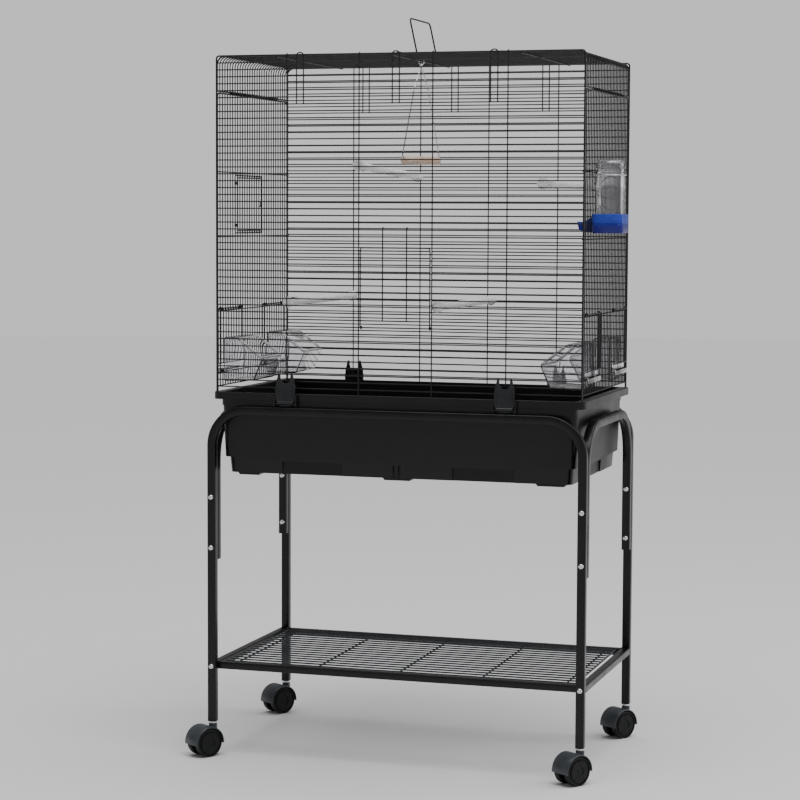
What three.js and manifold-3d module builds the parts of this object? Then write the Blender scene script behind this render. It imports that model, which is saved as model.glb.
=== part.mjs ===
// A rolling bird cage: a wire cage on a plastic base tub, carried by a square-tube stand
// with a shelf and casters.
// Millimetres, +Z up, front towards -Y. The cage is centred on X = Y = 0 until the last
// lines move the origin.
import * as THREE from "three";
import { mergeVertices } from "three/addons/utils/BufferGeometryUtils.js";
import Module from "manifold-3d";

const wasm = await Module();
wasm.setup();

// Clearances
const restGap = 0.3; // between pieces that touch
const doorStandoff = 1; // from a panel's face to a door that lies on it
const turnGap = 0.4; // around a pin or an axle

// Cage wirework, sizes between wire centres
const cageWidth = 656.8;
const cageDepth = 359.2;
const rowPitch = 12; // between the level wires of the front and back
const rowCount = 48; // pitches from the lowest row to the top
const footDrop = 9.6; // from the lowest row down to the wires' feet
const wire = 2.2;
const edgeWire = 3;
const frontBays = 5;
const sideBays = 29;
const flapRows = 5; // rows that the top panel's side flaps reach down
const hairpinRows = 7;
const hairpinPlaces = [-173, 0, 173];
const hairpinWidth = 12.5;
const hairpinRise = 4.6; // above the top row
const levelBeside = [10.5, 9]; // level wires inside the side panels, below and above the nest opening
const crossWires = [-218, -10, 218]; // under the top panel
const swingWire = crossWires[1];
const handleWire = 1.5; // above the top panel

// Front door, a flap hinged at its foot
const doorTopRow = 27;
const doorHingeRow = 39;
const doorHookRow = 25;
const doorSideGap = 0.98; // from the uprights beside the opening to the flap
const doorUprights = [-21.5, 21.5];
const doorTopDrop = 6.8; // from the opening's top wire to the flap's top edge
const doorHookOver = 5; // how far the hooks reach in over their row

// Nest door in the left panel and its opening, counted in side bays
const nestBays = [8, 18];
const nestRise = 272.6; // from the lowest row to the opening's foot
const nestHeight = 94;
const nestDoorLift = 5.5; // past the opening's foot and top
const nestDoorLap = 6;

// Feeder openings, doors and cups
const feederBays = [[1, 10], [19, 28]];
const feederRows = [2, 11]; // the opening's foot and top, counted up from the lowest row
const feederDoorRise = 13.6; // from the opening's foot to the door's foot
const feederDoorOver = 4.6; // from the opening's top to the door's top
const feederDoorLap = 2.5;
const cupWall = 2;
const cupSideGap = 3.6; // between the cup and its opening's side wires
const cupBackGap = 0.6; // from the level wires' inner faces to the cup's back
const cupDepth = 74;
const cupFloorDepth = 57;
const cupHoodDepth = 26;
const cupDrop = 16.4; // from the sill's centre down to the cup's floor
const cupFloorRise = 2; // of the floor at its front
const cupRimRise = 24.6; // from the sill's centre
const cupTopRise = 61.6;
const cupLipGap = 2.5; // from the sill to the lip over it
const cupLipDrop = 8;

// Perches: place across, rise from the lowest row at the front and at the back
const perchRadius = 6.5;
const perchCap = 10;
const perchCapLength = 7;
const perches = {
  perch_upper_left: [-69, 385.6, 372.6],
  perch_lower_left: [-197, 149.6, 149.6],
  perch_lower_right: [74, 145.6, 145.6],
  perch_upper_right: [257, 355.6, 355.6],
};

// Swing
const swingTurn = THREE.MathUtils.degToRad(67);
const swingShoulderHalf = 21;
const swingShoulderDrop = 56.4; // below the top
const swingSeatDrop = 177.4;
const swingSeatLength = 98;
const swingSeatRadius = 7;
const swingEyePlay = 0.8; // round the cross wire
const swingEyeDrop = 5; // from the cross wire's centre to the eye's foot

// Carry handle
const handleWidth = 121.6;
const handleLength = 67.6;
const handleLean = THREE.MathUtils.degToRad(-12.4);

// Water bottle outside the right panel
const bottleBay = 5;
const bottleRadius = 24.5;
const bottleWall = 1.5;
const bottleAboveBase = 91;
const bottleShoulder = 6;
const bottleSocketDepth = 15;
const bottlePlay = 0.7; // round the bottle in its socket
const bottleBaseRise = 272.6; // from the lowest row to the base's foot
const bottleBaseHeight = 32;
const bottleBaseWall = 2.5; // from the bottle to the base's faces
const bottleBaseRound = 8;
const noseGap = 0.33; // to the wires on either side
const noseWall = 1.7;
const noseReach = 26.6; // inwards from the panel's centre plane
const noseRise = 19; // of the nose's tip above the base's foot
const clipRise = 65; // above the base's top
const clipPlay = 0.6; // round the bottle
const clipGap = 1.6; // from the clip's ring to the panel

// Base tub: pairs are across and deep, each from the size before it
const rimPast = [6.6, 5.4]; // rim outside the cage's corner wires
const bodyInset = [14, 5]; // body's top inside the rim
const bodyLean = 3.5; // body's foot inside its top
const lowInset = [6, 7]; // lower section's top inside the body's foot
const lowLean = 2.5;
const shoulderInset = 1; // shoulders that sit on the rails, inside the rim
const shoulderHeight = 11; // from the rails' tops to the rim
const rimHeight = 12.5;
const tubHang = 123; // from the rails' tops down to the tub's foot
const tubLowHeight = 32;
const tubWall = 2.5;
const tubLowWall = 7;
const tubFloor = 3;
const tubRound = 12;
const tubRecessDepth = 4;
const tubRecessWidth = 110;
const tubRecessFromEnd = 156.5;
const tubRecessBelow = 6; // under the step
const tubGroove = 14;

// Base latches, four clips on the tub's long sides
const latchBay = 1.5; // front bays from the middle
const latchWidth = 36;
const latchHeight = 58;
const latchRailGap = 2;
const latchPivotRise = 4; // above the latch's foot
const latchThickness = 5;
const latchOut = 1.5; // from the rim's face to the latch
const latchSlot = 12;
const latchSlotRise = 35;
const latchTaper = [8, 18]; // heights of the two corners at the latch's foot
const latchEar = 3;
const latchPin = 1.5;

// Stand
const tube = 15;
const tubeWall = 1.2;
const standGap = [5.5, 1.1]; // from the tub's body to the side and front tubes
const railTop = 623;
const hoopCorner = 70; // outer radius
const legGap = 4; // from the caster hoods to the legs
const sideRailDrop = 12; // below the front rail's top
const sideHoopBelow = 22; // under the middle bolts
const sideCorner = 85;
const boltHeights = { upper: 461, middle: 371, shelf: 159 };
const boltRadius = 2.5;
const boltHole = 3.1;
const boltHead = [4.6, 3.2]; // radius, thickness
const shelfBoltLength = 30;
const shelfTube = 13;
const shelfWires = 17;
const shelfWire = 3;
const shelfEdge = [7, 7.8]; // from the side and front bars to the grid's outer wires
const shelfTies = 5;
const shelfTieInset = 19.5; // from the grid's side wires to the outer ties

// Casters
const wheelRadius = 25;
const wheelSides = 16;
const wheelInner = 6.9;
const wheelOuter = 19.5;
const hoodOver = 4.5; // hood's radius past the wheels'
const hoodWall = 2.2;
const hoodHalf = 20;
const webHalf = 6.2;
const casterTrail = 18;
const casterTurn = THREE.MathUtils.degToRad(-34);
const axleRadius = 3;
const stemRadius = 4;
const collarRadius = 7.5;
const bossRise = 1.5; // above the hood's shell
const stemPlay = 0.9; // between the stem's plug and the tube's inner faces
const plugLength = 28;
const hoodSweep = THREE.MathUtils.degToRad(5); // past level at each end of the hood

// Derived planes and heights
const halfWidth = cageWidth / 2;
const halfDepth = cageDepth / 2;
const inset = ([x, y], [byX, byY]) => [x - byX, y - byY];
const tubRim = [halfWidth + rimPast[0], halfDepth + rimPast[1]];
const tubBodyTop = inset(tubRim, bodyInset);
const tubBodyFoot = inset(tubBodyTop, [bodyLean, bodyLean]);
const tubLowTop = inset(tubBodyFoot, lowInset);
const tubLowFoot = inset(tubLowTop, [lowLean, lowLean]);
const tubRimHeights = [railTop + shoulderHeight, railTop + shoulderHeight + rimHeight];
const tubBottom = railTop - tubHang;
const tubStep = tubBottom + tubLowHeight;
const standHalfWidth = tubBodyTop[0] + standGap[0] + tube / 2; // to the legs' axes
const standHalfDepth = tubBodyTop[1] + standGap[1] + tube / 2;
const hoodRadius = wheelRadius + hoodOver;
const hoodTop = wheelRadius + hoodRadius + bossRise;
const legFoot = hoodTop + legGap;
const latchFoot = railTop + latchRailGap;
const cageFoot = tubRimHeights[1] + restGap;
const lowestRow = cageFoot + footDrop;
const cageTop = lowestRow + rowCount * rowPitch;
const outerPlane = halfDepth + wire + restGap; // uprights outside the front and back rows
const doorOffset = wire + doorStandoff; // from a panel's centre plane to a door's
const frontBay = cageWidth / frontBays;
const sideEnd = halfDepth - edgeWire - restGap; // side panels' end wires
const sidePitch = (2 * sideEnd) / sideBays;
const sideTop = cageTop - flapRows * rowPitch - edgeWire - restGap;
const row = (k) => cageTop - k * rowPitch;
const sideWire = (j) => -sideEnd + j * sidePitch;
const feederOpening = feederRows.map((k) => lowestRow + k * rowPitch);
const nestOpening = [lowestRow + nestRise, lowestRow + nestRise + nestHeight];
const levelHeights = [...feederOpening, nestOpening[0] - levelBeside[0], nestOpening[1] + levelBeside[1]];
const doorWidth = frontBay - wire - 2 * doorSideGap;

const finishes = {
  blackWire: [0x17181a, 0.38, 0.6],
  blackTube: [0x1b1b1d, 0.42, 0.5],
  blackPlastic: [0x1d1e20, 0.5, 0],
  latchPlastic: [0x2f353b, 0.5, 0],
  casterPlastic: [0x34383b, 0.45, 0],
  zinc: [0xc9ccd0, 0.25, 1],
  clearPlastic: [0xe6e8ea, 0.12, 0],
  bluePlastic: [0x2a3fb0, 0.35, 0],
  whitePlastic: [0xe4dfe8, 0.5, 0],
  wood: [0xc08a55, 0.6, 0],
};
const materials = {};
for (const [name, [color, roughness, metalness]] of Object.entries(finishes)) {
  materials[name] = new THREE.MeshStandardMaterial({ color, roughness, metalness });
}

const cage = new THREE.Group();

function place(name, geometry, finish) {
  const mesh = new THREE.Mesh(geometry, materials[finish]);
  mesh.name = name;
  cage.add(mesh);
  return mesh;
}

// Solids: three.js geometries to manifold-3d and back
function solid(geometry) {
  const bare = geometry.clone();
  bare.deleteAttribute("normal");
  bare.deleteAttribute("uv");
  const merged = mergeVertices(bare, 1e-4);
  const vertProperties = Float32Array.from(merged.attributes.position.array);
  const triVerts = Uint32Array.from(merged.index.array);
  return new wasm.Manifold(new wasm.Mesh({ numProp: 3, vertProperties, triVerts }));
}

function geometryOf(body) {
  const mesh = body.getMesh();
  const geometry = new THREE.BufferGeometry();
  geometry.setAttribute("position", new THREE.BufferAttribute(mesh.vertProperties, 3));
  geometry.setIndex(new THREE.BufferAttribute(mesh.triVerts, 1));
  geometry.computeVertexNormals();
  return geometry;
}

function join(...pieces) {
  return geometryOf(pieces.map(solid).reduce((whole, piece) => whole.add(piece)));
}

function cut(stock, ...tools) {
  return geometryOf(tools.map(solid).reduce((left, tool) => left.subtract(tool), solid(stock)));
}

// Basic shapes
function block(x, y, z) {
  const geometry = new THREE.BoxGeometry(x[1] - x[0], y[1] - y[0], z[1] - z[0]);
  return geometry.translate((x[0] + x[1]) / 2, (y[0] + y[1]) / 2, (z[0] + z[1]) / 2);
}

const around = (centre, size) => [centre - size / 2, centre + size / 2];
const rect = (u, v) => [[u[0], v[0]], [u[1], v[0]], [u[1], v[1]], [u[0], v[1]]];

const outlineShape = (points) => new THREE.Shape(points.map(([u, v]) => new THREE.Vector2(u, v)));

function roundedShape(halfU, halfV, radius) {
  const shape = new THREE.Shape();
  shape.absarc(halfU - radius, halfV - radius, radius, 0, Math.PI / 2);
  shape.absarc(-halfU + radius, halfV - radius, radius, Math.PI / 2, Math.PI);
  shape.absarc(-halfU + radius, -halfV + radius, radius, Math.PI, 1.5 * Math.PI);
  shape.absarc(halfU - radius, -halfV + radius, radius, 1.5 * Math.PI, 2 * Math.PI);
  return shape;
}

// A flat plate of a given thickness centred on a plane: "front" spans XZ, "side" spans YZ, "top" spans XY
const planeAxes = {
  front: [[1, 0, 0], [0, 0, 1], [0, -1, 0]],
  side: [[0, 1, 0], [0, 0, 1], [1, 0, 0]],
  top: [[1, 0, 0], [0, 1, 0], [0, 0, 1]],
};

function plate(shape, plane, centre, thickness, curveSegments = 5) {
  const options = { depth: thickness, bevelEnabled: false, curveSegments };
  const geometry = new THREE.ExtrudeGeometry(shape, options);
  const [u, v, w] = planeAxes[plane].map((axis) => new THREE.Vector3(...axis));
  const start = plane === "front" ? -centre : centre;
  geometry.translate(0, 0, start - thickness / 2);
  return geometry.applyMatrix4(new THREE.Matrix4().makeBasis(u, v, w));
}

// A plate with openings cut through it, such as a flat panel of welded wires
function lattice(outline, holes, plane, centre, thickness) {
  const stock = plate(outlineShape(outline), plane, centre, thickness);
  return cut(stock, ...holes.map((hole) => plate(outlineShape(hole), plane, centre, thickness + 2)));
}

function rod(radius, from, to, sides = 12) {
  const along = new THREE.Vector3(...to).sub(new THREE.Vector3(...from));
  const geometry = new THREE.CylinderGeometry(radius, radius, along.length(), sides);
  const upright = new THREE.Vector3(0, 1, 0);
  const turn = new THREE.Quaternion().setFromUnitVectors(upright, along.clone().normalize());
  geometry.applyQuaternion(turn);
  return geometry.translate(...along.multiplyScalar(0.5).add(new THREE.Vector3(...from)).toArray());
}

function turned(profile, sides) {
  const points = profile.map(([radius, height]) => new THREE.Vector2(radius, height));
  return new THREE.LatheGeometry(points, sides).rotateX(Math.PI / 2);
}

// Front and back panels: level rows with corner wires in one plane,
// uprights and hairpins in a plane outside it
function rowHoles(hasDoor) {
  const inner = halfWidth - edgeWire / 2;
  const doorSide = frontBay / 2;
  const holes = [];
  for (let k = 0; k < rowCount; k += 1) {
    const lower = row(k + 1) + wire / 2;
    const upper = row(k) - (k === 0 ? edgeWire : wire) / 2;
    if (hasDoor && k >= doorTopRow && k < doorHingeRow) {
      holes.push(rect([-inner, -doorSide - edgeWire / 2], [lower, upper]));
      holes.push(rect([doorSide + edgeWire / 2, inner], [lower, upper]));
    } else {
      holes.push(rect([-inner, inner], [lower, upper]));
    }
  }
  if (hasDoor) {
    const clear = [row(doorHingeRow) + wire / 2, row(doorTopRow) - wire / 2];
    holes.push(rect(around(0, 2 * doorSide - edgeWire), clear));
  }
  return holes;
}

function rowPanel(side, hasDoor) {
  const plane = side * halfDepth;
  const outside = side * outerPlane;
  const reach = halfWidth + edgeWire / 2;
  const inner = halfWidth - edgeWire / 2;
  const skirt = lowestRow - wire / 2;
  const outline = [
    [-reach, cageFoot], [-inner, cageFoot], [-inner, skirt], [inner, skirt],
    [inner, cageFoot], [reach, cageFoot], [reach, cageTop + edgeWire / 2], [-reach, cageTop + edgeWire / 2],
  ];
  const pieces = [lattice(outline, rowHoles(hasDoor), "front", plane, wire)];
  const weldDepth = [plane, outside].sort((a, b) => a - b);
  const weld = (x, z) => block(around(x, wire - 0.4), weldDepth, around(z, wire - 0.4));
  for (let i = 1; i < frontBays; i += 1) {
    const x = -halfWidth + i * frontBay;
    pieces.push(block(around(x, wire), around(outside, wire), [cageFoot, cageTop + wire / 2]));
    pieces.push(weld(x, cageTop), weld(x, lowestRow));
  }
  for (const x of hairpinPlaces) {
    const foot = row(hairpinRows) - wire / 2;
    const crown = cageTop + hairpinRise;
    const leg = hairpinWidth / 2 + wire / 2;
    const gapHalf = hairpinWidth / 2 - wire / 2;
    const pin = [
      [x - leg, foot], [x - gapHalf, foot], [x - gapHalf, crown - wire], [x + gapHalf, crown - wire],
      [x + gapHalf, foot], [x + leg, foot], [x + leg, crown], [x - leg, crown],
    ];
    pieces.push(plate(outlineShape(pin), "front", outside, wire));
    for (const dx of [-hairpinWidth / 2, hairpinWidth / 2]) {
      pieces.push(weld(x + dx, cageTop), weld(x + dx, row(hairpinRows)));
    }
  }
  return join(...pieces);
}

// Side panels: upright wires with the openings for the feeders and the nest box
function sideHoles(openings) {
  const holes = openings.map(({ bays, heights }) => {
    const across = [sideWire(bays[0]) + wire / 2, sideWire(bays[1]) - wire / 2];
    return rect(across, [heights[0] + wire / 2, heights[1] - wire / 2]);
  });
  for (let bay = 0; bay < sideBays; bay += 1) {
    const left = sideWire(bay) + (bay === 0 ? edgeWire : wire) / 2;
    const right = sideWire(bay + 1) - (bay === sideBays - 1 ? edgeWire : wire) / 2;
    const stops = openings.filter(({ bays }) => bay >= bays[0] && bay < bays[1]);
    stops.sort((a, b) => a.heights[0] - b.heights[0]);
    let foot = lowestRow + wire / 2;
    for (const { heights } of stops) {
      holes.push(rect([left, right], [foot, heights[0] - wire / 2]));
      foot = heights[1] + wire / 2;
    }
    holes.push(rect([left, right], [foot, sideTop - edgeWire / 2]));
  }
  return holes;
}

function sidePanel(side, openings) {
  const plane = side * halfWidth;
  const level = side * (halfWidth - wire - restGap);
  const reach = sideEnd + edgeWire / 2;
  const inner = sideEnd - edgeWire / 2;
  const skirt = lowestRow - wire / 2;
  const outline = [
    [-reach, cageFoot], [-inner, cageFoot], [-inner, skirt], [inner, skirt],
    [inner, cageFoot], [reach, cageFoot], [reach, sideTop + edgeWire / 2], [-reach, sideTop + edgeWire / 2],
  ];
  const pieces = [lattice(outline, sideHoles(openings), "side", plane, wire)];
  const weldDepth = [plane, level].sort((a, b) => a - b);
  for (const z of levelHeights) {
    pieces.push(block(around(level, wire), [-reach, reach], around(z, wire)));
    for (const y of [-sideEnd, sideEnd]) {
      pieces.push(block(weldDepth, around(y, wire - 0.4), around(z, wire - 0.4)));
    }
  }
  return join(...pieces);
}

// Top panel: wires along X that turn down as a flap at each side
function topPanel() {
  const reach = halfWidth + wire / 2;
  const endHalf = sideEnd + edgeWire / 2;
  const flapFoot = cageTop - flapRows * rowPitch;
  const bays = Array.from({ length: sideBays }, (_, bay) => [
    sideWire(bay) + (bay === 0 ? edgeWire : wire) / 2,
    sideWire(bay + 1) - (bay === sideBays - 1 ? edgeWire : wire) / 2,
  ]);
  const innerReach = halfWidth - wire / 2;
  const deckHoles = bays.map((bay) => rect([-innerReach, innerReach], bay));
  const flapHoles = bays.map((bay) => rect(bay, [flapFoot + edgeWire / 2, cageTop - wire / 2]));
  const deck = rect([-reach, reach], [-endHalf, endHalf]);
  const flap = rect([-endHalf, endHalf], [flapFoot - edgeWire / 2, cageTop + wire / 2]);
  const pieces = [
    lattice(deck, deckHoles, "top", cageTop, wire),
    lattice(flap, flapHoles, "side", -halfWidth, wire),
    lattice(flap, flapHoles, "side", halfWidth, wire),
  ];
  const ties = crossWires.map((x) => [x, cageTop - wire - restGap]);
  ties.push([handleWire, cageTop + wire + restGap]);
  for (const [x, z] of ties) {
    pieces.push(block(around(x, wire), [-endHalf, endHalf], around(z, wire)));
    const weldHeights = [z, cageTop].sort((a, b) => a - b);
    for (const y of [-sideEnd, sideEnd]) {
      pieces.push(block(around(x, wire - 0.4), around(y, wire - 0.4), weldHeights));
    }
  }
  return join(...pieces);
}

// Doors: a rim wire with its own bars in one plane
function frontDoor() {
  const plane = -(halfDepth + doorOffset);
  const outside = plane - wire - restGap;
  const hinge = row(doorHingeRow);
  const top = row(doorTopRow) - doorTopDrop;
  const half = doorWidth / 2;
  const foot = hinge - wire;
  const bars = doorHingeRow - doorTopRow - 1;
  const bottomBar = row(doorHingeRow - 1);
  const outline = [
    [-half, foot], [-half + wire, foot], [-half + wire, bottomBar - wire / 2],
    [half - wire, bottomBar - wire / 2], [half - wire, foot], [half, foot],
    [half, top + wire / 2], [-half, top + wire / 2],
  ];
  const holes = [];
  for (let i = 0; i < bars; i += 1) {
    const lower = bottomBar + i * rowPitch + wire / 2;
    const upper = i === bars - 1 ? top - wire / 2 : bottomBar + (i + 1) * rowPitch - wire / 2;
    if (upper - lower > wire) {
      holes.push(rect([-half + wire, half - wire], [lower, upper]));
    }
  }
  const pieces = [lattice(outline, holes, "front", plane, wire)];
  const hookUnder = row(doorHookRow) + wire / 2 + doorStandoff;
  for (const x of doorUprights) {
    pieces.push(block(around(x, wire), around(outside, wire), [bottomBar - wire / 2, hookUnder + wire]));
    pieces.push(block(around(x, wire), [outside, plane + doorHookOver], [hookUnder, hookUnder + wire]));
    for (const z of [bottomBar, top]) {
      pieces.push(block(around(x, wire - 0.4), [outside, plane], around(z, wire - 0.4)));
    }
  }
  return join(...pieces);
}

function barredDoor(side, across, heights, bars) {
  const plane = side * (halfWidth + doorOffset);
  const inner = [across[0] + wire, across[1] - wire];
  const pitch = (inner[1] - inner[0] + wire) / bars;
  const holes = [];
  for (let i = 0; i < bars; i += 1) {
    const left = inner[0] + i * pitch;
    holes.push(rect([left, left + pitch - wire], [heights[0] + wire, heights[1] - wire]));
  }
  return lattice(rect(across, heights), holes, "side", plane, wire);
}

// Feeder cup: a clear hooded scoop whose lip hooks over the opening's sill
function feederCup(side, bays) {
  const sill = feederOpening[0];
  const width = [sideWire(bays[0]) + cupSideGap, sideWire(bays[1]) - cupSideGap];
  const cupBack = wire + restGap + wire / 2 + cupBackGap;
  const cupFloor = sill - cupDrop;
  const cupRim = sill + cupRimRise;
  const cupTop = sill + cupTopRise;
  const lipUnder = sill + wire / 2 + cupLipGap;
  const lipBack = wire / 2 + doorStandoff + wire + restGap;
  const outside = [
    [cupBack, cupFloor], [cupBack + cupFloorDepth, cupFloor + cupFloorRise], [cupBack + cupDepth, cupRim],
    [cupBack + cupHoodDepth, cupTop], [cupBack, cupTop], [cupBack, lipUnder + cupWall],
    [-lipBack - cupWall, lipUnder + cupWall], [-lipBack - cupWall, lipUnder - cupLipDrop],
    [-lipBack, lipUnder - cupLipDrop], [-lipBack, lipUnder], [cupBack, lipUnder],
  ];
  const inside = [
    [cupBack + cupWall, cupFloor + cupWall],
    [cupBack + cupFloorDepth - cupWall, cupFloor + cupFloorRise + cupWall],
    [cupBack + cupDepth - cupWall, cupRim + 1], [cupBack + cupDepth + 12, cupRim + 8],
    [cupBack + cupHoodDepth + 12, cupTop + 8], [cupBack + cupHoodDepth, cupTop - cupWall],
    [cupBack + cupWall, cupTop - cupWall],
  ];
  const turnOut = (points) => points.map(([d, z]) => [side * (halfWidth - d), z]);
  const middle = (width[0] + width[1]) / 2;
  const length = width[1] - width[0];
  const shell = plate(outlineShape(turnOut(outside)), "front", middle, length);
  const cavity = plate(outlineShape(turnOut(inside)), "front", middle, length - 2 * cupWall);
  return cut(shell, cavity);
}

// Perch: a dowel with a cap at each end, from panel to panel
function perch([x, frontRise, backRise]) {
  const end = halfDepth - wire / 2 - restGap;
  const tilt = Math.atan2(backRise - frontRise, 2 * end);
  const half = (end - perchCap * Math.abs(Math.sin(tilt))) / Math.cos(tilt);
  const geometry = turned(
    [
      [0, -half],
      [perchCap, -half],
      [perchCap, -half + perchCapLength],
      [perchRadius, -half + perchCapLength],
      [perchRadius, half - perchCapLength],
      [perchCap, half - perchCapLength],
      [perchCap, half],
      [0, half],
    ],
    8,
  );
  geometry.rotateX(Math.PI / 2 + tilt);
  return geometry.translate(x, 0, lowestRow + (frontRise + backRise) / 2);
}

// Swing: a wire frame that hangs by an eye round its cross wire, with a dowel seat
const swingPivot = cageTop - wire - restGap;
const swingSeatHeight = cageTop - swingSeatDrop;

function swingFrame() {
  const swingEyeGap = wire / 2 + swingEyePlay;
  const eyeTop = swingPivot + swingEyeGap;
  const eyeFoot = swingPivot - swingEyeDrop;
  const half = swingEyeGap + wire;
  const eyeHole = rect(around(swingWire, 2 * swingEyeGap), [eyeFoot, eyeTop]);
  const eyeOutline = rect(around(swingWire, 2 * half), [eyeFoot - wire, eyeTop + wire]);
  const eye = lattice(eyeOutline, [eyeHole], "front", 0, wire);
  const apex = eyeFoot - wire / 2;
  const legHalf = swingSeatLength / 2 + restGap;
  const legFoot = swingSeatHeight - swingSeatRadius;
  const shoulder = swingShoulderHalf;
  const shoulderHeight = cageTop - swingShoulderDrop;
  const outline = [
    [0, apex - 2 * wire], [shoulder - wire / 2, shoulderHeight], [legHalf, swingSeatHeight + 3 * wire],
    [legHalf, legFoot], [legHalf + wire, legFoot], [legHalf + wire, swingSeatHeight + 3 * wire],
    [shoulder + wire / 2, shoulderHeight + wire], [wire / 2, apex], [-wire / 2, apex],
    [-shoulder - wire / 2, shoulderHeight + wire], [-legHalf - wire, swingSeatHeight + 3 * wire],
    [-legHalf - wire, legFoot], [-legHalf, legFoot], [-legHalf, swingSeatHeight + 3 * wire],
    [-shoulder + wire / 2, shoulderHeight],
  ];
  const frame = plate(outlineShape(outline), "front", 0, wire);
  frame.rotateZ(swingTurn);
  return join(eye, frame.translate(swingWire, 0, 0));
}

function swingSeat() {
  const half = swingSeatLength / 2;
  const along = [Math.cos(swingTurn) * half, Math.sin(swingTurn) * half];
  const geometry = rod(swingSeatRadius, [-along[0], -along[1], 0], [along[0], along[1], 0], 12);
  return geometry.translate(swingWire, 0, swingSeatHeight);
}

// Carry handle: a bail on the cross wire above the top panel
function carryHandle() {
  const start = wire / 2 + doorStandoff;
  const half = handleWidth / 2;
  const outline = [
    [-half - edgeWire / 2, start],
    [-half + edgeWire / 2, start],
    [-half + edgeWire / 2, handleLength - edgeWire / 2],
    [half - edgeWire / 2, handleLength - edgeWire / 2],
    [half - edgeWire / 2, start],
    [half + edgeWire / 2, start],
    [half + edgeWire / 2, handleLength + edgeWire / 2], [-half - edgeWire / 2, handleLength + edgeWire / 2],
  ];
  const geometry = plate(outlineShape(outline), "side", 0, edgeWire);
  geometry.rotateY(handleLean);
  return geometry.translate(handleWire, 0, cageTop + wire + restGap);
}

// Water bottle, its base with a drinking nose, and the wire clip that holds it
const bottleOut = wire / 2 + clipGap + wire + clipPlay + bottleRadius; // from the panel's centre plane
const bottleAxis = [halfWidth + bottleOut, (sideWire(bottleBay) + sideWire(bottleBay + 1)) / 2];
const bottleBaseFoot = lowestRow + bottleBaseRise;
const bottleBaseTop = bottleBaseFoot + bottleBaseHeight;
const bottleFoot = bottleBaseTop - bottleSocketDepth + restGap;
const bottleTop = bottleBaseTop + bottleAboveBase;

function bottle() {
  const inner = bottleRadius - bottleWall;
  const geometry = turned(
    [
      [0, bottleTop], [bottleRadius - 5, bottleTop], [bottleRadius, bottleTop - bottleShoulder],
      [bottleRadius, bottleFoot], [inner, bottleFoot], [inner, bottleTop - bottleShoulder - bottleWall / 2],
      [inner - 4.4, bottleTop - bottleWall],
      [0, bottleTop - bottleWall],
    ].reverse(),
    18,
  );
  return geometry.translate(...bottleAxis, 0);
}

function bottleBase() {
  const [x, y] = bottleAxis;
  const foot = bottleBaseFoot;
  const top = bottleBaseTop;
  const half = bottleRadius + bottleBaseWall;
  const inner = x - half;
  const noseWidth = sidePitch - wire - 2 * noseGap;
  const bore = noseWidth - 2 * noseWall;
  const body = roundedShape(half, half, bottleBaseRound);
  const stock = plate(body, "top", (foot + top) / 2, top - foot, 4).translate(x, y, 0);
  const tip = halfWidth - noseReach;
  const nose = [
    [inner + 10, foot], [tip + 9, foot], [tip, foot + noseRise], [tip + 12, foot + noseRise],
    [inner, top - 3], [inner + 10, top - 3],
  ];
  const spout = plate(outlineShape(nose), "front", y, noseWidth);
  const channel = block([tip + 8, inner + 14], around(y, bore), [foot + 5, top + 1]);
  const socket = rod(bottleRadius + bottlePlay, [x, y, top - bottleSocketDepth], [x, y, top + 1], 18);
  const well = block([inner + 4, x], around(y, bore), [foot + 5, top - bottleSocketDepth + 1]);
  return cut(join(stock, spout), socket, channel, well);
}

function bottleClip() {
  const [x, y] = bottleAxis;
  const clipHeight = bottleBaseTop + clipRise;
  const ringInner = bottleRadius + clipPlay;
  const ringOuter = ringInner + wire;
  const ring = cut(
    rod(ringOuter, [x, y, clipHeight], [x, y, clipHeight + wire], 18),
    rod(ringInner, [x, y, clipHeight - 1], [x, y, clipHeight + wire + 1], 18),
  );
  const crossX = halfWidth - wire / 2 - 0.5 - wire;
  const heights = [clipHeight, clipHeight + wire];
  const arm = block([crossX, x - ringInner - wire / 2], around(y, 3 * wire), heights);
  const hook = block([crossX, crossX + wire], around(y, 1.7 * sidePitch), heights);
  return join(ring, arm, hook);
}

// Base tub, from rounded blocks whose sides lean a little
function roundedBlock(foot, top, heights) {
  const [fx, fy] = foot;
  const shape = roundedShape(fx, fy, tubRound);
  const geometry = plate(shape, "top", (heights[0] + heights[1]) / 2, heights[1] - heights[0], 3);
  const points = geometry.attributes.position;
  const middle = (heights[0] + heights[1]) / 2;
  for (let i = 0; i < points.count; i += 1) {
    if (points.getZ(i) > middle) {
      points.setX(i, points.getX(i) + Math.sign(points.getX(i)) * (top[0] - fx));
      points.setY(i, points.getY(i) + Math.sign(points.getY(i)) * (top[1] - fy));
    }
  }
  return geometry;
}

const latchAxisY = tubRim[1] + latchOut + latchThickness / 2;

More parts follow.
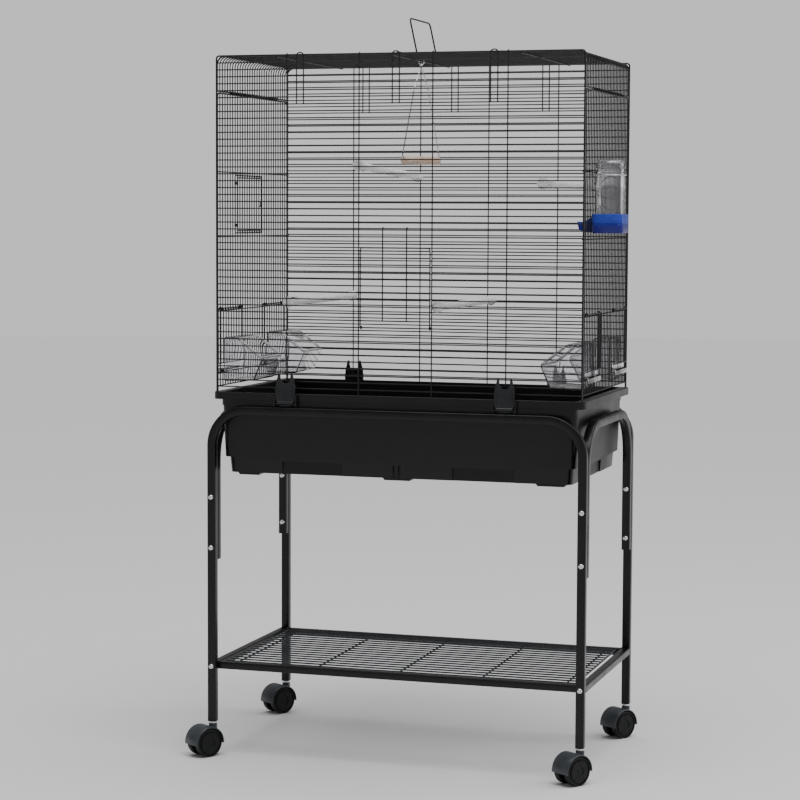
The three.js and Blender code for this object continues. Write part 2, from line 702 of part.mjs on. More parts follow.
function baseTub() {
  const shoulder = [tubBodyTop[0], tubRim[1] - shoulderInset];
  const inLow = [tubLowWall, tubLowWall];
  const inBody = [tubWall, tubWall];
  const stock = [
    roundedBlock(tubLowFoot, tubLowTop, [tubBottom, tubStep + 1]),
    roundedBlock(tubBodyFoot, tubBodyTop, [tubStep, tubRimHeights[0] + 1]),
    roundedBlock(shoulder, shoulder, [railTop + restGap, tubRimHeights[0] + 1]),
    roundedBlock(tubRim, tubRim, tubRimHeights),
  ];
  const lowRoom = [tubBottom + tubFloor, tubStep + 5];
  const bodyRoom = [tubStep + tubWall, tubRimHeights[1] + 1];
  const tools = [
    roundedBlock(inset(tubLowFoot, inLow), inset(tubLowTop, inLow), lowRoom),
    roundedBlock(inset(tubBodyFoot, inBody), inset(tubBodyTop, inBody), bodyRoom),
  ];
  const recess = [tubBottom - 1, tubStep - tubRecessBelow];
  const recessPlace = tubLowTop[0] - tubRecessFromEnd;
  for (const side of [-1, 1]) {
    const face = side * tubLowTop[1];
    const across = around(face, 2 * tubRecessDepth);
    tools.push(block(around(0, tubGroove), across, recess));
    tools.push(block(around(-recessPlace, tubRecessWidth), across, recess));
    tools.push(block(around(recessPlace, tubRecessWidth), across, recess));
    tools.push(block(around(side * tubLowTop[0], 2 * tubRecessDepth), around(0, tubRecessWidth), recess));
    for (const latchSide of [-1, 1]) {
      const x = latchSide * latchBay * frontBay;
      const ear = latchWidth / 2 + restGap;
      for (const dx of [-ear - latchEar, ear]) {
        const outer = latchAxisY + latchThickness / 2 + 0.5;
        const reach = [side * (tubRim[1] - 1), side * outer].sort((a, b) => a - b);
        stock.push(block([x + dx, x + dx + latchEar], reach, [latchFoot, tubRimHeights[1] - 2]));
      }
      const pinHalf = ear + latchEar + 1;
      const axis = [side * latchAxisY, latchFoot + latchPivotRise];
      tools.push(rod(latchPin + turnGap, [x - pinHalf, ...axis], [x + pinHalf, ...axis], 6));
    }
  }
  return cut(join(...stock), ...tools);
}

// Base latch: a two-pronged clip on a cross pin
function baseLatch(xSide, ySide) {
  const x = xSide * latchBay * frontBay;
  const half = latchWidth / 2;
  const slot = latchSlot / 2;
  const foot = latchFoot;
  const top = foot + latchHeight;
  const slotFoot = foot + latchSlotRise;
  const [low, high] = latchTaper.map((rise) => foot + rise);
  const outline = [
    [-half + 10, foot], [half - 10, foot], [half - 2, low], [half, high], [half - 3, top],
    [slot + 1, top], [slot, slotFoot], [-slot, slotFoot], [-slot - 1, top], [-half + 3, top],
    [-half, high], [-half + 2, low],
  ].map(([u, v]) => [x + u, v]);
  const body = plate(outlineShape(outline), "front", ySide * latchAxisY, latchThickness);
  const pin = half + restGap + latchEar;
  const axis = [ySide * latchAxisY, foot + latchPivotRise];
  return join(body, rod(latchPin, [x - pin, ...axis], [x + pin, ...axis], 6));
}

// Stand: hoops of square tube
function hoopShape(halfSpan, top, foot, corner, shrink) {
  const outer = halfSpan + tube / 2 - shrink;
  const inner = halfSpan - tube / 2 + shrink;
  const outerTop = top - shrink;
  const innerTop = top - tube + shrink;
  const outerRound = corner - shrink;
  const innerRound = corner - tube + shrink;
  const shape = new THREE.Shape();
  shape.moveTo(outer, foot);
  shape.absarc(outer - outerRound, outerTop - outerRound, outerRound, 0, Math.PI / 2);
  shape.absarc(-outer + outerRound, outerTop - outerRound, outerRound, Math.PI / 2, Math.PI);
  shape.lineTo(-outer, foot);
  shape.lineTo(-inner, foot);
  shape.absarc(-inner + innerRound, innerTop - innerRound, innerRound, Math.PI, Math.PI / 2, true);
  shape.absarc(inner - innerRound, innerTop - innerRound, innerRound, Math.PI / 2, 0, true);
  shape.lineTo(inner, foot);
  return shape;
}

function hoop(plane, centre, halfSpan, top, foot, corner, holes) {
  const outside = plate(hoopShape(halfSpan, top, foot, corner, 0), plane, centre, tube);
  const bore = hoopShape(halfSpan, top, foot - 1, corner, tubeWall);
  const hollow = plate(bore, plane, centre, tube - 2 * tubeWall);
  return cut(outside, hollow, ...holes);
}

const sideLegY = standHalfDepth - tube - restGap;

// Bolt holes run along Y through both legs of a pair, or through one leg and the shelf's frame
function boltTool(xSide, ySide, height, radius) {
  const from = ySide * (standHalfDepth + tube);
  const to = ySide * (sideLegY - tube);
  return rod(radius, [xSide * standHalfWidth, from, height], [xSide * standHalfWidth, to, height], 6);
}

function legHoles(pairs, heights) {
  return pairs.flatMap(([xSide, ySide]) => heights.map((z) => boltTool(xSide, ySide, z, boltHole)));
}

function shelf() {
  const outerX = standHalfWidth + tube / 2;
  const outerY = standHalfDepth - tube / 2 - restGap;
  const innerX = outerX - tube;
  const innerY = outerY - shelfTube;
  const half = shelfTube / 2;
  const opening = rect([-innerX, innerX], [-innerY, innerY]);
  const centre = boltHeights.shelf;
  const frame = lattice(rect([-outerX, outerX], [-outerY, outerY]), [opening], "top", centre, shelfTube);
  const gridHeight = centre + half - shelfWire / 2;
  const edge = innerX - shelfEdge[0];
  const gridHalf = innerY - shelfEdge[1];
  const shelfPitch = (2 * gridHalf) / (shelfWires - 1);
  const holes = [];
  const holeReach = [-edge + shelfWire / 2, edge - shelfWire / 2];
  for (let i = 0; i < shelfWires - 1; i += 1) {
    const y = -gridHalf + i * shelfPitch;
    holes.push(rect(holeReach, [y + shelfWire / 2, y + shelfPitch - shelfWire / 2]));
  }
  const field = rect([-edge - shelfWire / 2, edge + shelfWire / 2], around(0, 2 * gridHalf + shelfWire));
  const pieces = [frame, lattice(field, holes, "top", gridHeight, shelfWire)];
  const tieHeight = gridHeight - shelfWire - restGap;
  const tieHalf = edge - shelfTieInset;
  for (let i = 0; i < shelfTies; i += 1) {
    const x = -tieHalf + (i * 2 * tieHalf) / (shelfTies - 1);
    pieces.push(block(around(x, shelfWire), [-innerY - 1, innerY + 1], around(tieHeight, shelfWire)));
    for (const y of [-gridHalf, gridHalf]) {
      pieces.push(block(around(x, shelfWire - 0.4), around(y, shelfWire - 0.4), [tieHeight, gridHeight]));
    }
  }
  const bores = [[-1, -1], [1, -1], [-1, 1], [1, 1]].map(([xSide, ySide]) => {
    return boltTool(xSide, ySide, boltHeights.shelf, boltHole);
  });
  return cut(join(...pieces), ...bores);
}

const legFace = standHalfDepth + tube / 2 + restGap;

// A bolt through a leg and its side hoop: head towards the front, nut towards the back
function hoopBolt(xSide, ySide, height) {
  const x = xSide * standHalfWidth;
  const inboard = sideLegY - tube / 2 - restGap;
  const faces = [ySide * legFace, ySide * inboard].sort((a, b) => a - b);
  const [radius, thickness] = boltHead;
  const head = rod(radius, [x, faces[0] - thickness, height], [x, faces[0], height], 8);
  const nut = rod(radius, [x, faces[1], height], [x, faces[1] + thickness, height], 6);
  const shank = rod(boltRadius, [x, faces[0] - 1, height], [x, faces[1] + 1, height], 6);
  return join(head, nut, shank);
}

// A bolt from outside the leg into the shelf's frame
function shelfBolt(xSide, ySide) {
  const x = xSide * standHalfWidth;
  const z = boltHeights.shelf;
  const [radius, thickness] = boltHead;
  const head = rod(radius, [x, ySide * (legFace + thickness), z], [x, ySide * legFace, z], 8);
  const shankEnds = [legFace + 1, legFace - shelfBoltLength].map((y) => [x, ySide * y, z]);
  const shank = rod(boltRadius, ...shankEnds, 6);
  return join(head, shank);
}

// Casters, built round the stem's axis with the axle behind it
function wheelPair() {
  const rim = wheelRadius / Math.cos(Math.PI / wheelSides);
  const profile = [[0, wheelInner], [rim - 1, wheelInner], [rim, wheelInner + 1], [rim, wheelOuter - 1.5]];
  profile.push([rim - 1.5, wheelOuter], [0, wheelOuter]);
  const disc = turned(profile, wheelSides).rotateZ(Math.PI / wheelSides).rotateY(Math.PI / 2);
  const twin = disc.clone().rotateZ(Math.PI);
  const axle = rod(axleRadius, [-wheelInner - 1, 0, 0], [wheelInner + 1, 0, 0], 8);
  return join(disc, twin, axle).translate(0, -casterTrail, wheelRadius);
}

function casterHood() {
  const ringInner = hoodRadius - hoodWall;
  const shell = new THREE.Shape();
  shell.absarc(0, 0, hoodRadius, -hoodSweep, Math.PI + hoodSweep);
  shell.absarc(0, 0, ringInner, Math.PI + hoodSweep, -hoodSweep, true);
  const web = new THREE.Shape();
  web.absarc(0, 0, ringInner + 1, 0, Math.PI);
  web.absarc(0, 0, 9, Math.PI, 2 * Math.PI);
  const parts = [plate(shell, "side", 0, 2 * hoodHalf, 8), plate(web, "side", 0, 2 * webHalf, 5)];
  for (const piece of parts) {
    piece.translate(0, -casterTrail, wheelRadius);
  }
  const bossFoot = wheelRadius + Math.sqrt(ringInner ** 2 - (casterTrail - collarRadius) ** 2) + 0.6;
  parts.push(rod(collarRadius, [0, 0, bossFoot], [0, 0, hoodTop], 8));
  const bore = rod(stemRadius + turnGap, [0, 0, wheelRadius + 9], [0, 0, hoodTop + 1], 8);
  const axleBore = rod(
    axleRadius + turnGap,
    [-webHalf - 1, -casterTrail, wheelRadius],
    [webHalf + 1, -casterTrail, wheelRadius],
    8,
  );
  return cut(join(...parts), bore, axleBore);
}

function casterStem() {
  const foot = wheelRadius + 10;
  const plug = tube / 2 - tubeWall - stemPlay;
  return turned(
    [
      [0, foot], [stemRadius, foot], [stemRadius, hoodTop + restGap], [collarRadius - 1, hoodTop + restGap],
      [collarRadius - 1, legFoot - restGap], [plug, legFoot - restGap], [plug, legFoot + plugLength],
      [0, legFoot + plugLength],
    ],
    8,
  );
}

// Assembly
const feeders = { front: feederBays[0], rear: feederBays[1] };
const feederGaps = feederBays.map((bays) => ({ bays, heights: feederOpening }));
place("front_panel", rowPanel(-1, true), "blackWire");
place("back_panel", rowPanel(1, false), "blackWire");
place("left_panel", sidePanel(-1, [...feederGaps, { bays: nestBays, heights: nestOpening }]), "blackWire");
place("right_panel", sidePanel(1, feederGaps), "blackWire");
place("top_panel", topPanel(), "blackWire");
place("front_door", frontDoor(), "blackWire");
const nestAcross = [sideWire(nestBays[0]) - nestDoorLap, sideWire(nestBays[1]) + nestDoorLap];
const nestDoorHeights = [nestOpening[0] - nestDoorLift, nestOpening[1] + nestDoorLift];
const feederDoorHeights = [feederOpening[0] + feederDoorRise, feederOpening[1] + feederDoorOver];
place("nest_door", barredDoor(-1, nestAcross, nestDoorHeights, nestBays[1] - nestBays[0] + 1), "blackWire");
for (const [sideName, side] of [["left", -1], ["right", 1]]) {
  for (const [endName, bays] of Object.entries(feeders)) {
    const across = [sideWire(bays[0]) - feederDoorLap, sideWire(bays[1]) + feederDoorLap];
    const door = barredDoor(side, across, feederDoorHeights, bays[1] - bays[0]);
    place(`feeder_door_${sideName}_${endName}`, door, "blackWire");
    place(`feeder_cup_${sideName}_${endName}`, feederCup(side, bays), "clearPlastic");
  }
}
for (const [name, at] of Object.entries(perches)) {
  place(name, perch(at), "whitePlastic");
}
place("swing_frame", swingFrame(), "zinc");
place("swing_seat", swingSeat(), "wood");
place("carry_handle", carryHandle(), "blackWire");
place("water_bottle", bottle(), "clearPlastic");
place("bottle_base", bottleBase(), "bluePlastic");
place("bottle_clip", bottleClip(), "zinc");
place("base_tub", baseTub(), "blackPlastic");

const corners = [];
for (const [yName, ySide] of [["front", -1], ["rear", 1]]) {
  for (const [xName, xSide] of [["left", -1], ["right", 1]]) {
    corners.push({ name: `${yName}_${xName}`, xSide, ySide });
  }
}
const jointHeights = [boltHeights.upper, boltHeights.middle];
for (const [name, ySide] of [["front_hoop", -1], ["rear_hoop", 1]]) {
  const holes = legHoles([[-1, ySide], [1, ySide]], [...jointHeights, boltHeights.shelf]);
  const plane = ySide * standHalfDepth;
  const geometry = hoop("front", plane, standHalfWidth, railTop, legFoot, hoopCorner, holes);
  place(name, geometry, "blackTube");
}
for (const [name, xSide] of [["left_hoop", -1], ["right_hoop", 1]]) {
  const holes = legHoles([[xSide, -1], [xSide, 1]], jointHeights);
  const top = railTop - sideRailDrop;
  const foot = boltHeights.middle - sideHoopBelow;
  const geometry = hoop("side", xSide * standHalfWidth, sideLegY, top, foot, sideCorner, holes);
  place(name, geometry, "blackTube");
}
place("shelf", shelf(), "blackTube");
for (const { name, xSide, ySide } of corners) {
  place(`bolt_upper_${name}`, hoopBolt(xSide, ySide, boltHeights.upper), "zinc");
  place(`bolt_middle_${name}`, hoopBolt(xSide, ySide, boltHeights.middle), "zinc");
  place(`bolt_shelf_${name}`, shelfBolt(xSide, ySide), "zinc");
  place(`base_latch_${name}`, baseLatch(xSide, ySide), "latchPlastic");
  const stem = place(`caster_stem_${name}`, casterStem(), "zinc");
  const hood = place(`caster_hood_${name}`, casterHood(), "casterPlastic");
  const wheels = place(`caster_wheels_${name}`, wheelPair(), "casterPlastic");
  for (const piece of [stem, hood, wheels]) {
    piece.position.set(xSide * standHalfWidth, ySide * standHalfDepth, 0);
    piece.rotation.z = casterTurn;
  }
}

// The origin goes to the middle of the floor under the whole object
const bounds = new THREE.Box3().setFromObject(cage, true);
const middle = bounds.getCenter(new THREE.Vector3());
cage.position.set(-middle.x, -middle.y, -bounds.min.z);

export default cage;
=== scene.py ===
import math

import bmesh
import bpy
from mathutils import Matrix, Vector


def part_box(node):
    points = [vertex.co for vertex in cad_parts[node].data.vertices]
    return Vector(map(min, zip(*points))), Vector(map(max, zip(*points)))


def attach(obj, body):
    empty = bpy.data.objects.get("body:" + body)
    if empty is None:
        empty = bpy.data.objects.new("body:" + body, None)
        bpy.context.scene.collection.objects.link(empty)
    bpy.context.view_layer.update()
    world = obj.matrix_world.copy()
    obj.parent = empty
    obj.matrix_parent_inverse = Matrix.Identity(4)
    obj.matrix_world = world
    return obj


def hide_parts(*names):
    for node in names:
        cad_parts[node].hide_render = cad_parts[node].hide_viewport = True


# A bird cage on a rolling stand, modelled in millimetres about the cage's middle
# and moved to the frame's metres as each piece is finished.
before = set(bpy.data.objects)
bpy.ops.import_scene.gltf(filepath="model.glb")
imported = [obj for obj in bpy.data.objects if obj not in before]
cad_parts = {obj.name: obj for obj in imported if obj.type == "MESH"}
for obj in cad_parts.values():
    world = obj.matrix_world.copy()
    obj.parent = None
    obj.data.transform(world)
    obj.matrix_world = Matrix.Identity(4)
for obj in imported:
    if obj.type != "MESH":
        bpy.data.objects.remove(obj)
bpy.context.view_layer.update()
scene = bpy.context.scene


def frameBox(node):
    low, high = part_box(node)
    return Vector(low), Vector(high)


hoopLow, hoopHigh = frameBox("front_hoop")
rearHigh = frameBox("rear_hoop")[1]
cageMiddle = Vector((
    (hoopLow.x + hoopHigh.x) * 500,
    (hoopLow.y + rearHigh.y) * 500,
    0,
))
toFrame = Matrix.Scale(0.001, 4) @ Matrix.Translation(cageMiddle)

cage = {
    "halfWidth": 328.4,
    "halfDepth": 179.6,
    "top": 1232.4,
    "foot": 646.8,
    "rowPitch": 12,
    "rows": 48,
    "wire": 1.1,  # radius
    "edgeWire": 1.5,
    "frontBay": 131.36,
    "sideStart": 176.3,
    "sidePitch": 12.15862,
    "sideWires": 30,
}
corners = [
    ("front_left", -1, -1),
    ("front_right", 1, -1),
    ("rear_left", -1, 1),
    ("rear_right", 1, 1),
]


def rowHeight(k):
    return cage["top"] - k * cage["rowPitch"]


def sideWire(j):
    return -cage["sideStart"] + j * cage["sidePitch"]


# Mesh helpers

def facing(direction):
    return Vector(direction).to_track_quat("Z", "Y").to_matrix().to_4x4()


def eachOnce(items):
    # in the order they come, so that every run builds the same mesh
    return list(dict.fromkeys(items))


def ringEdges(verts):
    inRing = set(verts)
    edges = eachOnce(edge for vert in verts for edge in vert.link_edges)
    return [edge for edge in edges if edge.verts[0] in inRing and edge.verts[1] in inRing]


def roundRing(shape, centre, direction, radius, sides=8):
    place = Matrix.Translation(centre) @ facing(direction)
    made = bmesh.ops.create_circle(shape, cap_ends=False, segments=sides, radius=radius, matrix=place)
    return ringEdges(made["verts"])


def squareRing(shape, halfX, halfY, rounding, place, segments=3):
    turn = Matrix.Diagonal((halfX, halfY, 1, 1)) @ Matrix.Rotation(math.pi / 4, 4, "Z")
    made = bmesh.ops.create_circle(
        shape, cap_ends=True, segments=4, radius=math.sqrt(2), matrix=turn)
    rounded = bmesh.ops.bevel(
        shape, geom=made["verts"], offset=rounding, segments=segments, profile=0.5,
        affect="VERTICES", material=-1)
    face = rounded["verts"][0].link_faces[0]
    edges = list(face.edges)
    bmesh.ops.transform(shape, matrix=place, verts=list(face.verts))
    bmesh.ops.delete(shape, geom=[face], context="FACES_ONLY")
    return edges


def spinRing(shape, ring, centre, axis, angle, steps, shift=(0, 0, 0)):
    verts = eachOnce(vert for edge in ring for vert in edge.verts)
    full = abs(angle - math.tau) < 1e-6 and Vector(shift).length < 1e-9
    last = bmesh.ops.spin(
        shape, geom=verts + list(ring), cent=centre, axis=axis, dvec=shift, angle=angle,
        steps=steps, use_merge=full, use_duplicate=False)["geom_last"]
    return [item for item in last if isinstance(item, bmesh.types.BMEdge)]


def pushRing(shape, ring, shift=(0, 0, 0), scale=None):
    made = bmesh.ops.extrude_edge_only(shape, edges=ring)["geom"]
    verts = [item for item in made if isinstance(item, bmesh.types.BMVert)]
    if scale:
        bmesh.ops.scale(shape, vec=scale, verts=verts)
    bmesh.ops.translate(shape, vec=shift, verts=verts)
    return ringEdges(verts)


def capRing(shape, ring):
    return bmesh.ops.edgeloop_fill(shape, edges=ring)["faces"][0]


def hollowEnd(shape, ring, wall, depth):
    face = capRing(shape, ring)
    bmesh.ops.inset_individual(shape, faces=[face], thickness=wall)
    inner = bmesh.ops.extrude_discrete_faces(shape, faces=[face])["faces"]
    bmesh.ops.translate(shape, vec=depth, verts=list(inner[0].verts))


def sweep(shape, ring, path, bend, steps=4):
    # pushes a ring along straight runs and spins it round each corner
    points = [Vector(point) for point in path]
    here = points[0]
    for index in range(1, len(points) - 1):
        into = (points[index] - points[index - 1]).normalized()
        out = (points[index + 1] - points[index]).normalized()
        angle = into.angle(out)
        if angle < 0.02:
            continue
        cut = min(bend * math.tan(angle / 2), (points[index] - here).length * 0.98)
        radius = cut / math.tan(angle / 2)
        start = points[index] - into * cut
        ring = pushRing(shape, ring, start - here)
        inward = (out - into * math.cos(angle)).normalized()
        ring = spinRing(
            shape, ring, start + inward * radius, into.cross(out).normalized(), angle, steps)
        here = points[index] + out * cut
    return pushRing(shape, ring, points[-1] - here)


def wirePath(shape, path, radius, bend=3, sides=8, steps=4):
    ring = roundRing(shape, path[0], Vector(path[1]) - Vector(path[0]), radius, sides)
    last = sweep(shape, ring, path, bend, steps)
    capRing(shape, ring)
    capRing(shape, last)


def rod(shape, start, end, radius, sides=8, endRadius=None):
    start, end = Vector(start), Vector(end)
    run = end - start
    bmesh.ops.create_cone(
        shape, cap_ends=True, segments=sides, radius1=radius,
        radius2=radius if endRadius is None else endRadius, depth=run.length,
        matrix=Matrix.Translation((start + end) / 2) @ facing(run))


def coil(shape, centre, axis, radius, turns, pitch, wire=0.9, sides=6):
    # a wire wound round something
    axis = Vector(axis).normalized()
    out = axis.orthogonal().normalized()
    start = Vector(centre) - axis * (turns * pitch / 2) + out * radius
    ring = roundRing(shape, start, axis.cross(out), wire, sides)
    steps = int(turns * 10)
    last = spinRing(
        shape, ring, centre, axis, turns * math.tau, steps, axis * (turns * pitch / steps))
    capRing(shape, ring)
    capRing(shape, last)


def bar(shape, start, end, width, height, rounding=1.5, segments=3):
    # a straight bar of rounded box section
    start, end = Vector(start), Vector(end)
    place = Matrix.Translation(start) @ facing(end - start)
    ring = squareRing(shape, width / 2, height / 2, rounding, place, segments)
    last = pushRing(shape, ring, end - start)
    capRing(shape, ring)
    capRing(shape, last)


def block(shape, low, high):
    low, high = Vector(low), Vector(high)
    size = high - low
    place = Matrix.Translation((low + high) / 2) @ Matrix.Diagonal((size.x, size.y, size.z, 1))
    return bmesh.ops.create_cube(shape, size=1, matrix=place)["verts"]


def lathe(shape, profile, place, steps=32):
    # turns a line of (radius, height) points about local Z
    before = set(shape.verts)
    chain = [shape.verts.new((radius, 0, height)) for radius, height in profile]
    edges = [shape.edges.new(pair) for pair in zip(chain, chain[1:])]
    bmesh.ops.spin(
        shape, geom=chain + edges, cent=(0, 0, 0), axis=(0, 0, 1), dvec=(0, 0, 0),
        angle=math.tau, steps=steps, use_merge=True, use_duplicate=False)
    fresh = [vert for vert in shape.verts if vert not in before]
    bmesh.ops.remove_doubles(shape, verts=fresh, dist=0.001)
    fresh = [vert for vert in shape.verts if vert not in before]
    bmesh.ops.transform(shape, matrix=place, verts=fresh)


def cutOut(shape, outline, place, depth):
    # an outline in local XY, pushed along local Z
    verts = [shape.verts.new((u, v, 0)) for u, v in outline]
    face = shape.faces.new(verts)
    made = bmesh.ops.extrude_face_region(shape, geom=[face])["geom"]
    moved = [item for item in made if isinstance(item, bmesh.types.BMVert)]
    bmesh.ops.translate(shape, vec=(0, 0, depth), verts=moved)
    bmesh.ops.transform(shape, matrix=place, verts=verts + moved)
    return verts + moved


def settleOrder(shape):
    # operators may leave points, edges and faces in another order on each run
    slant = Vector((1, 0.6180339, 0.4142135))  # points seldom tie along it
    shape.verts.sort(key=lambda vert: vert.co.dot(slant))
    shape.verts.index_update()
    count = len(shape.verts)

    def rank(item):
        first, second, *rest = sorted(vert.index for vert in item.verts)
        third = rest[0] if rest else 0
        return (first * count + second) * count + third

    shape.edges.sort(key=rank)
    shape.faces.sort(key=rank)


def meshOf(shape, name):
    settleOrder(shape)
    bmesh.ops.recalc_face_normals(shape, faces=shape.faces)
    mesh = bpy.data.meshes.new(name)
    shape.to_mesh(mesh)
    shape.free()
    return mesh


def carve(shape, cutter):
    # takes the cutter's room out of a closed shape
    stock = bpy.data.objects.new("stock", meshOf(shape, "stock"))
    tool = bpy.data.objects.new("tool", meshOf(cutter, "tool"))
    for piece in (stock, tool):
        scene.collection.objects.link(piece)
    boolean = stock.modifiers.new("cut", "BOOLEAN")
    boolean.operation = "DIFFERENCE"
    boolean.solver = "EXACT"
    boolean.object = tool
    evaluated = stock.evaluated_get(bpy.context.evaluated_depsgraph_get())
    carved = bmesh.new()
    carved.from_mesh(evaluated.to_mesh())
    evaluated.to_mesh_clear()
    for piece in (stock, tool):
        mesh = piece.data
        bpy.data.objects.remove(piece)
        bpy.data.meshes.remove(mesh)
    return carved


def finishPiece(name, shape, body, material, nodes, sharp=38, bevel=None):
    bmesh.ops.transform(shape, matrix=toFrame, verts=shape.verts)
    mesh = meshOf(shape, name)
    for face in mesh.polygons:
        face.use_smooth = True
    mesh.set_sharp_from_angle(angle=math.radians(sharp))
    mesh.materials.append(material)
    piece = bpy.data.objects.new(name, mesh)
    scene.collection.objects.link(piece)
    if bevel:
        edges = piece.modifiers.new("soft edges", "BEVEL")
        edges.width = bevel * 0.001
        edges.segments = 2
        edges.limit_method = "ANGLE"
        edges.angle_limit = math.radians(50)
        edges.harden_normals = True
    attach(piece, body)
    if nodes:
        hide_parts(*nodes)
    return piece


# Shared effects

def newGroup(name, inputs, outputs):
    group = bpy.data.node_groups.new(name, "ShaderNodeTree")
    for label, kind, value in inputs:
        socket = group.interface.new_socket(label, in_out="INPUT", socket_type=kind)
        socket.default_value = value
    for label, kind in outputs:
        group.interface.new_socket(label, in_out="OUTPUT", socket_type=kind)
    start = group.nodes.new("NodeGroupInput")
    end = group.nodes.new("NodeGroupOutput")
    return group, start, end


def makeMottle():
    # slow drift of tone and gloss, as on any moulded or coated part
    group, start, end = newGroup(
        "mottle",
        [
            ("Tone A", "NodeSocketColor", (0.02, 0.02, 0.02, 1)),
            ("Tone B", "NodeSocketColor", (0.03, 0.03, 0.03, 1)),
            ("Patch Scale", "NodeSocketFloat", 30),
            ("Gloss A", "NodeSocketFloat", 0.35),
            ("Gloss B", "NodeSocketFloat", 0.5),
        ],
        [("Color", "NodeSocketColor"), ("Roughness", "NodeSocketFloat")],
    )
    nodes, links = group.nodes, group.links
    place = nodes.new("ShaderNodeTexCoord")
    patches = nodes.new("ShaderNodeTexNoise")
    patches.inputs["Detail"].default_value = 4
    patches.inputs["Roughness"].default_value = 0.6
    links.new(place.outputs["Object"], patches.inputs["Vector"])
    links.new(start.outputs["Patch Scale"], patches.inputs["Scale"])
    spread = nodes.new("ShaderNodeMapRange")
    spread.inputs["From Min"].default_value = 0.35
    spread.inputs["From Max"].default_value = 0.65
    links.new(patches.outputs["Fac"], spread.inputs["Value"])
    tone = nodes.new("ShaderNodeMix")
    tone.data_type = "RGBA"
    links.new(spread.outputs["Result"], tone.inputs["Factor"])
    links.new(start.outputs["Tone A"], tone.inputs[6])
    links.new(start.outputs["Tone B"], tone.inputs[7])
    gloss = nodes.new("ShaderNodeMix")
    links.new(spread.outputs["Result"], gloss.inputs[0])
    links.new(start.outputs["Gloss A"], gloss.inputs[2])
    links.new(start.outputs["Gloss B"], gloss.inputs[3])
    links.new(tone.outputs[2], end.inputs["Color"])
    links.new(gloss.outputs[0], end.inputs["Roughness"])
    return group


def makeGrain():
    # fine surface grain: pebbles of one size over a softer swell
    group, start, end = newGroup(
        "grain",
        [
            ("Pebble Scale", "NodeSocketFloat", 900),
            ("Swell Scale", "NodeSocketFloat", 120),
            ("Swell Share", "NodeSocketFloat", 0.4),
        ],
        [("Height", "NodeSocketFloat")],
    )
    nodes, links = group.nodes, group.links
    place = nodes.new("ShaderNodeTexCoord")
    pebbles = nodes.new("ShaderNodeTexVoronoi")
    pebbles.feature = "SMOOTH_F1"
    swell = nodes.new("ShaderNodeTexNoise")
    swell.inputs["Detail"].default_value = 3
    for texture, scale in ((pebbles, "Pebble Scale"), (swell, "Swell Scale")):
        links.new(place.outputs["Object"], texture.inputs["Vector"])
        links.new(start.outputs[scale], texture.inputs["Scale"])
    blend = nodes.new("ShaderNodeMix")
    links.new(start.outputs["Swell Share"], blend.inputs[0])
    links.new(pebbles.outputs["Distance"], blend.inputs[2])
    links.new(swell.outputs["Fac"], blend.inputs[3])
    links.new(blend.outputs[0], end.inputs["Height"])
    return group


mottle = makeMottle()
grain = makeGrain()


def coated(name, look):
    # a material from the two shared effects, with constants on the shader itself
    material = bpy.data.materials.new(name)
    material.use_nodes = True
    nodes, links = material.node_tree.nodes, material.node_tree.links
    shader = nodes["Principled BSDF"]
    tone = nodes.new("ShaderNodeGroup")
    tone.node_tree = mottle
    tone.inputs["Tone A"].default_value = (*look["toneA"], 1)
    tone.inputs["Tone B"].default_value = (*look["toneB"], 1)
    tone.inputs["Patch Scale"].default_value = look["patchScale"]
    tone.inputs["Gloss A"].default_value = look["roughness"][0]
    tone.inputs["Gloss B"].default_value = look["roughness"][1]
    links.new(tone.outputs["Color"], shader.inputs["Base Color"])
    links.new(tone.outputs["Roughness"], shader.inputs["Roughness"])
    surface = nodes.new("ShaderNodeGroup")
    surface.node_tree = grain
    surface.inputs["Pebble Scale"].default_value = look["pebbleScale"]
    surface.inputs["Swell Scale"].default_value = look.get("swellScale", 120)
    surface.inputs["Swell Share"].default_value = look.get("swellShare", 0.4)
    bump = nodes.new("ShaderNodeBump")
    bump.inputs["Strength"].default_value = look["bump"]
    bump.inputs["Distance"].default_value = 0.0004
    links.new(surface.outputs["Height"], bump.inputs["Height"])
    links.new(bump.outputs["Normal"], shader.inputs["Normal"])
    shader.inputs["Metallic"].default_value = look.get("metallic", 0)
    shader.inputs["Coat Weight"].default_value = look.get("coat", 0)
    shader.inputs["Coat Roughness"].default_value = look.get("coatRoughness", 0.15)
    shader.inputs["Specular IOR Level"].default_value = look.get("specular", 0.5)
    shader.inputs["Transmission Weight"].default_value = look.get("transmission", 0)
    shader.inputs["IOR"].default_value = look.get("ior", 1.5)
    return material


wireCoat = coated("wire coat", {
    "toneA": (0.004, 0.004, 0.0045), "toneB": (0.009, 0.009, 0.01), "patchScale": 60,
    "roughness": (0.3, 0.45), "pebbleScale": 1500, "bump": 0.15, "specular": 0.35,
})
tubeCoat = coated("tube coat", {
    "toneA": (0.003, 0.003, 0.0036), "toneB": (0.006, 0.006, 0.007), "patchScale": 18,
    "roughness": (0.24, 0.34), "pebbleScale": 1100, "bump": 0.2, "specular": 0.3,
})
tubPlastic = coated("tub plastic", {
    "toneA": (0.0038, 0.0038, 0.0042), "toneB": (0.007, 0.007, 0.0074), "patchScale": 9,
    "roughness": (0.3, 0.4), "pebbleScale": 1700, "bump": 0.25, "specular": 0.32,
})
latchPlastic = coated("latch plastic", {
    "toneA": (0.006, 0.0068, 0.0082), "toneB": (0.010, 0.0115, 0.0135), "patchScale": 60,
    "roughness": (0.24, 0.36), "pebbleScale": 1800, "bump": 0.15, "specular": 0.4,
})
hoodPlastic = coated("hood plastic", {
    "toneA": (0.028, 0.033, 0.038), "toneB": (0.042, 0.048, 0.054), "patchScale": 60,
    "roughness": (0.3, 0.42), "pebbleScale": 1500, "bump": 0.2,
})
